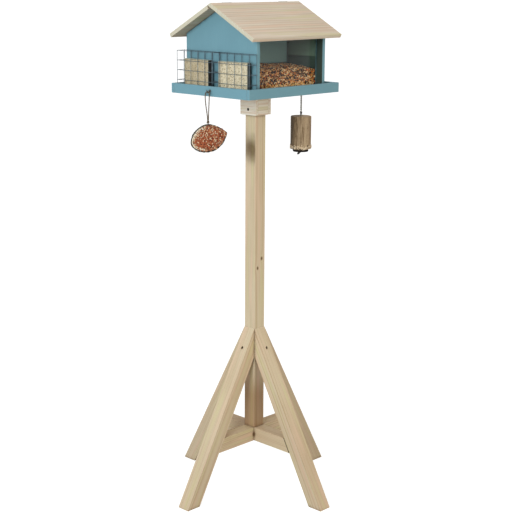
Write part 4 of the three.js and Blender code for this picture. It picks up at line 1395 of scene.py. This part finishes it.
def sharpened(local):
    """Points in the nut's own frame, drawn in and down where that end is pointed."""
    along, across, out = local.T
    share = np.clip(along / NUT_HALF_LENGTH, 0, 0.99)
    narrowed = (1 - share ** 2) ** NUT_SHARPER
    return stacked(along, across * narrowed - NUT_DROOP * share ** 2, out * narrowed)


print("coconut face looks along", [round(value, 2) for value in nut_turn.to_3x3() @ Vector((0, 0, 1))])

# %% [markdown]
# A coconut shell is hard, dark and covered in fibres that run from end to end. Remeshing the
# packed shell keeps its hole and its wall; noise stretched along the nut makes the ridges.
# The flesh is white and smooth, with a brown skin where it meets the shell, and with fat from
# the filling smeared over it where the filling is heaped.
# %% Coconut shell and flesh
def heaped(along, across):
    """How high the filling is heaped over a place of the face, from about -1 to 1."""
    return along / NUT_HALF_LENGTH * 0.85 - across / NUT_RADIUS * 0.25


def nut_layer(name, node, voxel, ridge, slot, smeared=False):
    """One layer of the coconut, ridged along it. smeared gives the tone of fat from the filling."""
    points, normals, faces = remeshed(node, voxel, 2)
    local = moved(points, to_nut)
    grooves = lumps(local * (0.16, 1.0, 1.0), 2.4 * MM, 3)
    points = points - normals * (ridge * (0.5 + 0.5 * grooves).clip(0, 1.4))[:, None]
    points = moved(sharpened(moved(points, to_nut)), from_nut)
    tone = 0.5 + 0.4 * grooves
    if smeared:
        tone = 0.5 + 1.6 * heaped(local[:, 0], local[:, 1] - 8 * MM) + 0.3 * grooves
    piece(name, (points, faces), "coconut", slot.replace("_", " "), replaces=[node],
          tone=tone.clip(0, 1))


nut_layer("coconut_shell_fibrous", "coconut_shell", 1.1 * MM, 0.55 * MM, "nut_shell")
nut_layer("coconut_flesh_ring", "coconut_flesh", 1.2 * MM, 0.2 * MM, "nut_flesh", smeared=True)

print("coconut layers: 2")

# %% [markdown]
# The shell goes between two browns with its ridges, and a duller brown lies over it in patches.
# The flesh is white between stains, and brown with fat where its tone says so.
# %% Shell and flesh colours
net = surface("nut shell", Specular_IOR_Level=0.3)
where = net.where()
patchy = net.noise(where, 70.0, 3.0)
colour = net.colour(net.tone(), paint(36, 31, 23), paint(86, 78, 60))
net.give(
    Base_Color=net.colour(net.fade(patchy, 0.4, 0.7, 0.0, 0.6), colour, paint(66, 60, 48)),
    Roughness=net.fade(patchy, 0.3, 0.7, 0.7, 0.9),
    Normal=net.bump(net.noise(where, 900.0, 3.0), 0.0003, 0.7),
)

net = surface("nut flesh", Specular_IOR_Level=0.4)
skin = net.noise(net.where(), 160.0, 4.0, 0.6)
white = net.colour(net.fade(skin, 0.45, 0.8, 0.0, 0.7), paint(226, 212, 188), paint(186, 154, 118))
net.give(
    Base_Color=net.colour(net.fade(net.tone(), 0.1, 0.45), white, paint(160, 102, 72)),
    Roughness=net.fade(skin, 0.3, 0.7, 0.45, 0.7), Normal=net.bump(skin, 0.0003, 0.4),
)
print("finishes: nut shell, nut flesh")

# %% [markdown]
# Fine loose fibres lie along the shell, swept as hair-thin tubes, because only real strands
# break the outline. Each leaves the shell a little and comes back to it, drifting sideways.
# %% Fibres on the shell
FIBRES = 260
FIBRE_THICK = np.linspace(0.16, 0.06, 6) * MM  # half the thickness, from root to tip

rng = np.random.default_rng(31)
strands = []
for _ in range(FIBRES):
    start = rng.uniform(-0.9, 0.75) * NUT_HALF_LENGTH
    around_nut = rng.uniform(math.pi, 2 * math.pi)
    reach, lift, drift = rng.uniform(6, 15) * MM, rng.uniform(0.1, 0.9) * MM, rng.uniform(-0.12, 0.12)
    share = np.linspace(0, 1, len(FIBRE_THICK))
    along = np.minimum(start + share * reach, 0.97 * NUT_HALF_LENGTH)
    out_by = nut_half_width(along) + lift * np.sin(math.pi * np.minimum(share * 1.2, 1.0)) - 0.1 * MM
    angle = around_nut + drift * share
    line = stacked(along, out_by * np.cos(angle), np.minimum(out_by * np.sin(angle), -0.2 * MM))
    strands.append(sweep(line, FIBRE_THICK, 4))
points, faces = together(*strands)
piece("coconut_shell_fibres", (moved(sharpened(points), from_nut), faces), "coconut", "nut shell",
      tone=rng.uniform(0.4, 1.0, len(points)))
print("fibres:", FIBRES)

# %% [markdown]
# The nut is filled with fat and chopped peanuts, whose red skins give the colour. It was
# heaped in by hand: full at one end, where crumbs cover the white ring too, and thin at the
# other, where the ring shows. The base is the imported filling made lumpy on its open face.
# %% Chopped nut filling
FILL_DENT = 0.9 * MM
FILL_FACE = -6 * MM  # only above this, in the nut's own frame, is the filling dented

points, normals, faces = remeshed("coconut_fill", 1.3 * MM, 2)
face_side = moved(points, to_nut)[:, 2] > FILL_FACE
points = points + normals * (FILL_DENT * lumps(points, 5 * MM, 3) * face_side)[:, None]
points = moved(sharpened(moved(points, to_nut)), from_nut)
nut_mix = Mixture(41, (points, faces), 0.3)

print("filling points:", len(points))

# %% [markdown]
# Crumbs are pressed into the face: red skins, paler ones where a nut has broken, and some dark
# ones. They lie on a jittered grid over the oval, and keep away from its edge where the filling
# is thin. Where they come over the white flesh, they lie on top of it.
# %% Crumbs on the filling
CRUMB_ROWS = 25
CRUMB_KINDS = [  # share, tones, size in mm
    (0.33, (0.62, 0.98), (6.4, 5.4, 3.8)), (0.43, (0.22, 0.5), (6.0, 5.4, 4.0)),
    (0.24, (0.0, 0.14), (5.0, 4.4, 3.6)),
]

rows = np.linspace(-1, 1, CRUMB_ROWS)
along, across = (axis.ravel() for axis in np.meshgrid(rows, rows, indexing="ij"))
rng = np.random.default_rng(42)
along = along * NUT_HALF_LENGTH + rng.uniform(-1.4, 1.4, along.size) * MM
across = across * NUT_RADIUS + rng.uniform(-1.2, 1.2, across.size) * MM
heap = heaped(along, across)
ring_in = (1.4 + 7.0 * np.clip(-0.2 - 1.3 * heap, 0.0, 1.0)) * MM
inside = np.abs(across) < nut_half_width(along, 1.0 * MM) - ring_in
along, across, heap = along[inside], across[inside], heap[inside]
over_flesh = np.clip(1 - (nut_half_width(along, 11.6 * MM) - np.abs(across)) / (3 * MM), 0, 1)
domed = 1.0 - (along / NUT_HALF_LENGTH) ** 2 - (across / NUT_RADIUS) ** 2
bumps = lumps(stacked(along, across, 0.0), 9 * MM, 2)
height = np.maximum(-1.2 + 1.4 * domed + 0.8 * heap + 0.8 * bumps, over_flesh * 2.2 - 2.0) * MM
spots = moved(sharpened(stacked(along, across, height)), from_nut)
ends = np.cumsum([kind[0] for kind in CRUMB_KINDS[:-1]]) * len(spots)
kinds = np.split(rng.permutation(len(spots)), ends.astype(int))
for shape, chosen, (_, tones, size) in zip(CRUMBS, kinds, CRUMB_KINDS):
    nut_mix.add(shape, spots[chosen], size, tones)
mesh, tones = nut_mix.made()
piece("coconut_fill_chopped", mesh, "coconut", "chopped nuts", replaces=["coconut_fill"],
      smooth=False, tone=tones)
print("crumbs:", len(spots))

# %% [markdown]
# The knot that holds the twine is two turns of the same laid twine round its own two legs.
# Below it the legs go through the hole in the shell and end in a second knot inside.
# %% Knot above the shell
KNOT_HEIGHT = 8 * MM
KNOT_TURNS = 2.25
KNOT_RADIUS = 2.5 * MM
KNOT_BEAD = [(0, 0), (2.6, 0.8), (3.9, 3.4), (3.2, 6), (0, 7.4)]  # radius and height, mm
KNOT_LEG = 0.75 * MM
knot_low, knot_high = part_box("twine_knot")
knot_x, knot_y = NUT_PLACE.x, NUT_PLACE.y
knot_foot = knot_high.z - KNOT_HEIGHT

share = np.linspace(0, 1, 60)
turning = share * KNOT_TURNS * 2 * math.pi
climb = knot_foot + TWINE_RADIUS + (KNOT_HEIGHT - 2 * TWINE_RADIUS) * share
wrap = stacked(knot_x + KNOT_RADIUS * np.cos(turning), knot_y + KNOT_RADIUS * np.sin(turning), climb)
parts = [laid_yarns(wrap, TWINE_RADIUS / TWINE_SLACK, TWINE_LAY)]
heights = np.linspace(knot_high.z, knot_low.z + 6 * MM, 30)
lean = np.interp(heights, (knot_foot, knot_high.z), (KNOT_LEG, 1.8 * MM))
for side in (-1, 1):
    parts.append(laid_yarns(stacked(knot_x, knot_y + side * lean, heights), KNOT_LEG, 5 * MM))
points, faces = lathe([(radius * MM, height * MM) for radius, height in KNOT_BEAD], 20)
parts.append((points + np.array((knot_x, knot_y, knot_low.z)), faces))
piece("twine_knot_tied", together(*parts), "coconut", "jute twine", replaces=["twine_knot"])
print("knot height: %.0f mm" % (KNOT_HEIGHT / MM))

# %% [markdown]
# Jute is a dull plant fibre with no gloss. Fine noise gives it pale and dark fibres, and a
# broad one the stains of handling. Loop, hairs and knot all take this one finish.
# %% Jute
net = surface("jute twine", Specular_IOR_Level=0.2)
where = net.where()
hair = net.noise(where, 2600.0, 3.0, 0.65)
patchy = net.fade(net.noise(where, 120.0, 3.0), 0.35, 0.7, 0.0, 0.5)
colour = net.colour(net.fade(hair, 0.3, 0.7), paint(72, 57, 44), paint(134, 114, 92))
net.give(
    Base_Color=net.colour(patchy, colour, paint(96, 76, 58)),
    Roughness=net.fade(hair, 0.3, 0.7, 0.8, 0.95), Normal=net.bump(hair, 0.0003, 0.9),
)
print("finish: jute twine")

# %% [markdown]
# The seed log is meal and fat pressed in a tube, so its side is smooth with long scratches,
# and its foot is ragged where it broke off. The remeshed cylinder gets shallow upright grooves
# all over, and deep crumbling only near its foot. Round it the tone changes in broad upright
# stripes of painted light and shade, darkest on one side.
# %% Seed log
# painted light and shade round the log, in upright stripes
LOG_SHADE_FROM = 227  # degrees round from X
LOG_LIGHT_AND_SHADE = [  # degrees round from there, and how much paler the log is
    (-180, -0.1), (-90, -0.36), (-60, -0.36), (-40, -0.16), (-14, -0.02), (14, 0.02), (28, 0.15),
    (42, 0.07), (58, 0.0), (76, 0.09), (90, 0.06), (180, -0.1),
]
LOG_GROOVE, LOG_CRUMBLE, LOG_PIT = 0.12 * MM, 1.6 * MM, 0.9 * MM  # depths
LOG_RAGGED = 13 * MM  # up from its foot
log_low, log_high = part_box("seed_log")
log_middle = (log_low + log_high) / 2
log_radius = (log_high.x - log_low.x) / 2

points, normals, faces = remeshed("seed_log", 1.3 * MM, 2)
grooves = lumps(points * (1.0, 1.0, 0.09), 3.0 * MM, 3)
ragged = 1 - (points[:, 2] - log_low.z) / LOG_RAGGED + 0.4 * lumps(points, 18 * MM, 2)
ragged = np.clip(ragged, 0, 1)
crumbs = lumps(points, 4 * MM, 3)
pitted = np.clip(lumps(points, 7 * MM, 3) - 0.35, 0, 1)
depth = LOG_GROOVE * (1 + grooves) + LOG_PIT * pitted
depth += LOG_CRUMBLE * ragged * (0.4 + 0.6 * crumbs).clip(0, 1)
points = points - normals * depth[:, None]
around_log = np.degrees(np.arctan2(points[:, 1] - log_middle.y, points[:, 0] - log_middle.x))
painted_shading = np.interp((around_log - LOG_SHADE_FROM + 180) % 360 - 180, *zip(*LOG_LIGHT_AND_SHADE))
# darker in the pits, as painted shade
tone = 0.42 + painted_shading + 0.22 * grooves + 0.15 * ragged * crumbs + 0.1 * ragged - 0.3 * pitted
tone += 0.12 * np.clip(normals[:, 2], 0, 1)
log_mix = Mixture(61, (points, faces), tone.clip(0.08, 0.64))
print("log radius: %.1f mm" % (log_radius / MM))

# %% [markdown]
# Near the foot, where the log broke off, whole seeds and crumbs stand in the crumbled edge.
# They are set round it at random, thickest low down, and sit a little deeper at the very rim.
# %% Seeds in the log
LOG_KINDS = [  # count, shape, size in mm, tones
    (150, GRAIN, (4.4, 3.4, 7.6), (0.72, 0.98)), (90, CRUMBS[1], (6.0, 5.4, 4.6), (0.7, 0.95)),
    (34, GRAIN, (4.8, 3.4, 7.0), (0.0, 0.08)), (40, CRUMBS[2], (5.0, 4.4, 4.0), (0.1, 0.3)),
]

rng = log_mix.rng
for count, shape, size, tones in LOG_KINDS:
    angle = rng.uniform(0, 2 * np.pi, count)
    up = 2.4 + rng.beta(1.3, 2.2, count) * 14
    radius = log_radius - rng.uniform(0.4, 1.3, count) * MM - 3.0 * MM * np.clip(1 - up / 3.5, 0, 1)
    across = stacked(radius * np.cos(angle), radius * np.sin(angle), up * MM)
    foot = np.array((log_middle.x, log_middle.y, log_low.z))
    log_mix.add(shape, foot + across, size, tones)
mesh, tones = log_mix.made()
piece("seed_log_pressed", mesh, "log", "pressed log", replaces=["seed_log"], tone=tones)
print("seeds in the log:", sum(kind[0] for kind in LOG_KINDS))

# %% [markdown]
# The log hangs on two wires twisted together, which open into an eye for the hook. The same
# helper that lays yarns twists the wires, loosely above the log and tightly inside it.
# %% Wires of the log
WIRE_TWIST = 12.6 * MM
WIRE_HALF = 1.4 * MM
LOOSE_HALF = 2.8 * MM  # above the log, where the wires aren't pulled tight
TIGHT_FROM = 2 * MM  # above the log
EYE_RADIUS = 5.5 * MM
EYE_HALF = 1.1 * MM
EYE_OPEN = 0.25  # radians on either side of its foot
wire_low, wire_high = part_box("log_wire")
washer_low, washer_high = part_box("log_washer")
eye_middle = wire_high.z - WIRE_HALF - EYE_RADIUS
axis_x, axis_y = log_middle.x, HOOK_ASIDE

opening = np.linspace(-math.pi / 2 + EYE_OPEN, 1.5 * math.pi - EYE_OPEN, 40)
eye = stacked(axis_x, axis_y + EYE_RADIUS * np.cos(opening), eye_middle + EYE_RADIUS * np.sin(opening))
tight_top = log_high.z + TIGHT_FROM
loose = stacked(axis_x, axis_y, np.linspace(eye_middle - EYE_RADIUS + 0.4 * MM, tight_top, 110))
tight = stacked(axis_x, axis_y, np.linspace(tight_top, washer_low.z - 1.5 * MM, 80))
twisted = together(*(
    laid_yarns(line, half, WIRE_TWIST, yarns=2, sides=8)
    for line, half in ((loose, LOOSE_HALF), (tight, WIRE_HALF), (eye, EYE_HALF))
))
piece("log_wire_twisted", twisted, "log_hanger", "galvanised wire",
      replaces=["log_wire"])

print("wires top: %.1f mm" % (wire_high.z / MM))

# %% [markdown]
# A dark binding wire is wound round the two above the log, and its end sticks out. Below the
# washer the ends of the wires are bent aside, so that the log can't slide off.
# %% Binding and wire ends
TAIL_HALF = 3.3 * MM
BINDING_FOOT = 1.2 * MM  # above the log
BINDING_HEIGHT = 10.5 * MM
BINDING_TURNS = 6.5
BINDING_RADII = [1.7, 1.8, 1.8, 2.2, 2.9, 3.0]  # mm, from the foot up

winding = np.linspace(0, 1, 110)
turned = winding * BINDING_TURNS * 2 * math.pi
out_by = np.interp(winding, np.linspace(0, 1, len(BINDING_RADII)), BINDING_RADII) * MM
climb = log_high.z + BINDING_FOOT + BINDING_HEIGHT * winding
bound = stacked(axis_x + out_by * np.cos(turned), axis_y + out_by * np.sin(turned), climb)
end = bound[-1] + np.array([(0, 0, 0), (-1.2, -1.4, 0.9), (-3.2, -2.6, 1.2)]) * MM
tail = smooth_path([
    tight[-1], (axis_x, axis_y + 3 * MM, washer_low.z - 3.6 * MM),
    (axis_x, axis_y + 8 * MM, wire_low.z + 6 * MM), (axis_x, wire_high.y - TAIL_HALF, wire_low.z + TAIL_HALF),
], 10)
tail = laid_yarns(tail, TAIL_HALF, 9 * MM, yarns=2, sides=10)
binding = together(sweep(bound, 0.9 * MM, 8), sweep(end, 0.8 * MM, 8), tail)
piece("log_wire_ends", binding, "log_hanger", "dark wire")
print("binding: %.1f turns" % BINDING_TURNS)

# %% [markdown]
# Under the log a black rubber washer keeps it on the wires. Its rim is round, and it is a
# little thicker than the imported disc, as in the photo.
# %% Washer of the log
WASHER_MORE = 1.5 * MM
WASHER_ROUND = 1.4 * MM
WASHER_HOLE = 1.7 * MM
HOLE_EASED = 0.2 * MM

washer_radius = (washer_high.x - washer_low.x) / 2
thick = washer_high.z - washer_low.z + WASHER_MORE
rim = [
    (washer_radius - WASHER_ROUND * (1 - math.cos(angle)), thick / 2 * (1 + math.sin(angle)))
    for angle in np.linspace(-math.pi / 2, math.pi / 2, 9)
]
foot = (WASHER_HOLE, HOLE_EASED)
points, faces = lathe([foot] + rim + [(WASHER_HOLE, thick - HOLE_EASED), foot], 56)
points = points + np.array((axis_x, axis_y, washer_high.z - thick))
piece("log_washer_rubber", (points, faces), "log_hanger", "black rubber",
      replaces=["log_washer"])

net = surface("black rubber", Specular_IOR_Level=0.15)
dust = net.noise(net.where(), 300.0, 4.0, 0.6)
net.give(
    Base_Color=net.colour(dust, paint(22, 19, 17), paint(46, 38, 32)),
    Roughness=net.fade(dust, 0.3, 0.7, 0.8, 0.95), Normal=net.bump(dust, 0.0003, 0.5),
)
print("washer radius: %.0f mm" % (washer_radius / MM))

# %% [markdown]
# The table stands on a plain pale floor in front of nothing. A white background comes from the
# floor and the world, which show white to the camera, to reflections and through the panes,
# and never from more light on the object. The floor's own grey keeps the table's shadow.
# %% Floor and world
FLOOR_SIZE = 60.0
WORLD_LIGHT = 0.6
FLOOR_GREY = 0.45
FLOOR_GLOW = 0.8
WHITE = (1.0, 1.0, 1.0, 1.0)


def grey(value):
    """A linear grey as a colour."""
    return (value, value, value, 1.0)


def seen_white(net):
    """One where the camera, a reflection or a view through a pane meets the surface.

    A ray that left a matt surface brings light to it, also through a pane, so it isn't a view.
    """
    ray = net.node("LightPath")
    seen = net.most(net.most(ray["Is Camera Ray"], ray["Is Glossy Ray"]), ray["Is Transmission Ray"])
    return seen * net.math("LESS_THAN", ray["Diffuse Depth"], 0.5)


world = bpy.data.worlds.new("white studio")
bpy.context.scene.world = world
world.use_nodes = True
world.node_tree.nodes.clear()
net = Net(world.node_tree)
glow = net.node("Mix", {0: seen_white(net), 2: WORLD_LIGHT, 3: 1.0}, data_type="FLOAT")[0]
sky = net.node("Background", {"Color": WHITE, "Strength": glow})[0]
net.put(world.node_tree.nodes.new("ShaderNodeOutputWorld").inputs["Surface"], sky)

net = surface("white floor", Roughness=0.9, Specular_IOR_Level=0.1)
tooth = net.noise(net.where(), 400.0)
net.give(
    Base_Color=net.colour(tooth, grey(0.97 * FLOOR_GREY), grey(1.03 * FLOOR_GREY)),
    Emission_Color=WHITE, Emission_Strength=seen_white(net) * FLOOR_GLOW,
)
corners = [(x * FLOOR_SIZE, y * FLOOR_SIZE, 0) for x, y in ((-1, -1), (1, -1), (1, 1), (-1, 1))]
floor = shaped("floor", (corners, [(0, 1, 2, 3)]), "white floor", smooth=False)
floor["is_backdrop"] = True

print("floor: %.0f m each way from the post" % FLOOR_SIZE)

# %% [markdown]
# A strong lamp stands on the cages' side and a weak warm one before the seed window, each a
# wide square so that shadows stay soft. The world gives the rest, as in a white studio.
# %% Lamps
LAMPS = {  # degrees round from the seed window, degrees up, distance, size, power and colour
    "side lamp": (70.0, 14.0, 3.8, 1.4, 80.0, (0.85, 0.965, 1.0)),
    "front lamp": (5.0, 12.0, 3.6, 2.2, 24.0, (1.0, 0.88, 0.6)),
}
LAMP_AIM = 1.0  # the height that the lamps look at

for name, (round_by, up, distance, size, power, colour) in LAMPS.items():
    lamp = shown(name, bpy.data.lights.new(name, "AREA"))
    lamp.data.shape = "SQUARE"
    lamp.data.size = size
    lamp.data.energy = power
    lamp.data.color = colour
    aim = turn(-round_by, "Z") @ turn(90 - up, "X")
    away = Matrix.Translation((0, 0, distance))
    lamp.matrix_world = Matrix.Translation((0, 0, LAMP_AIM)) @ aim @ away
bpy.context.scene.view_settings.view_transform = "Standard"
print("lamps:", list(LAMPS))

sizes = {"solid": solid_box, "visual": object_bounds()}
for name, (low, high) in sizes.items():
    print(name, [round(value * 1000, 1) for value in (*low, *high)])
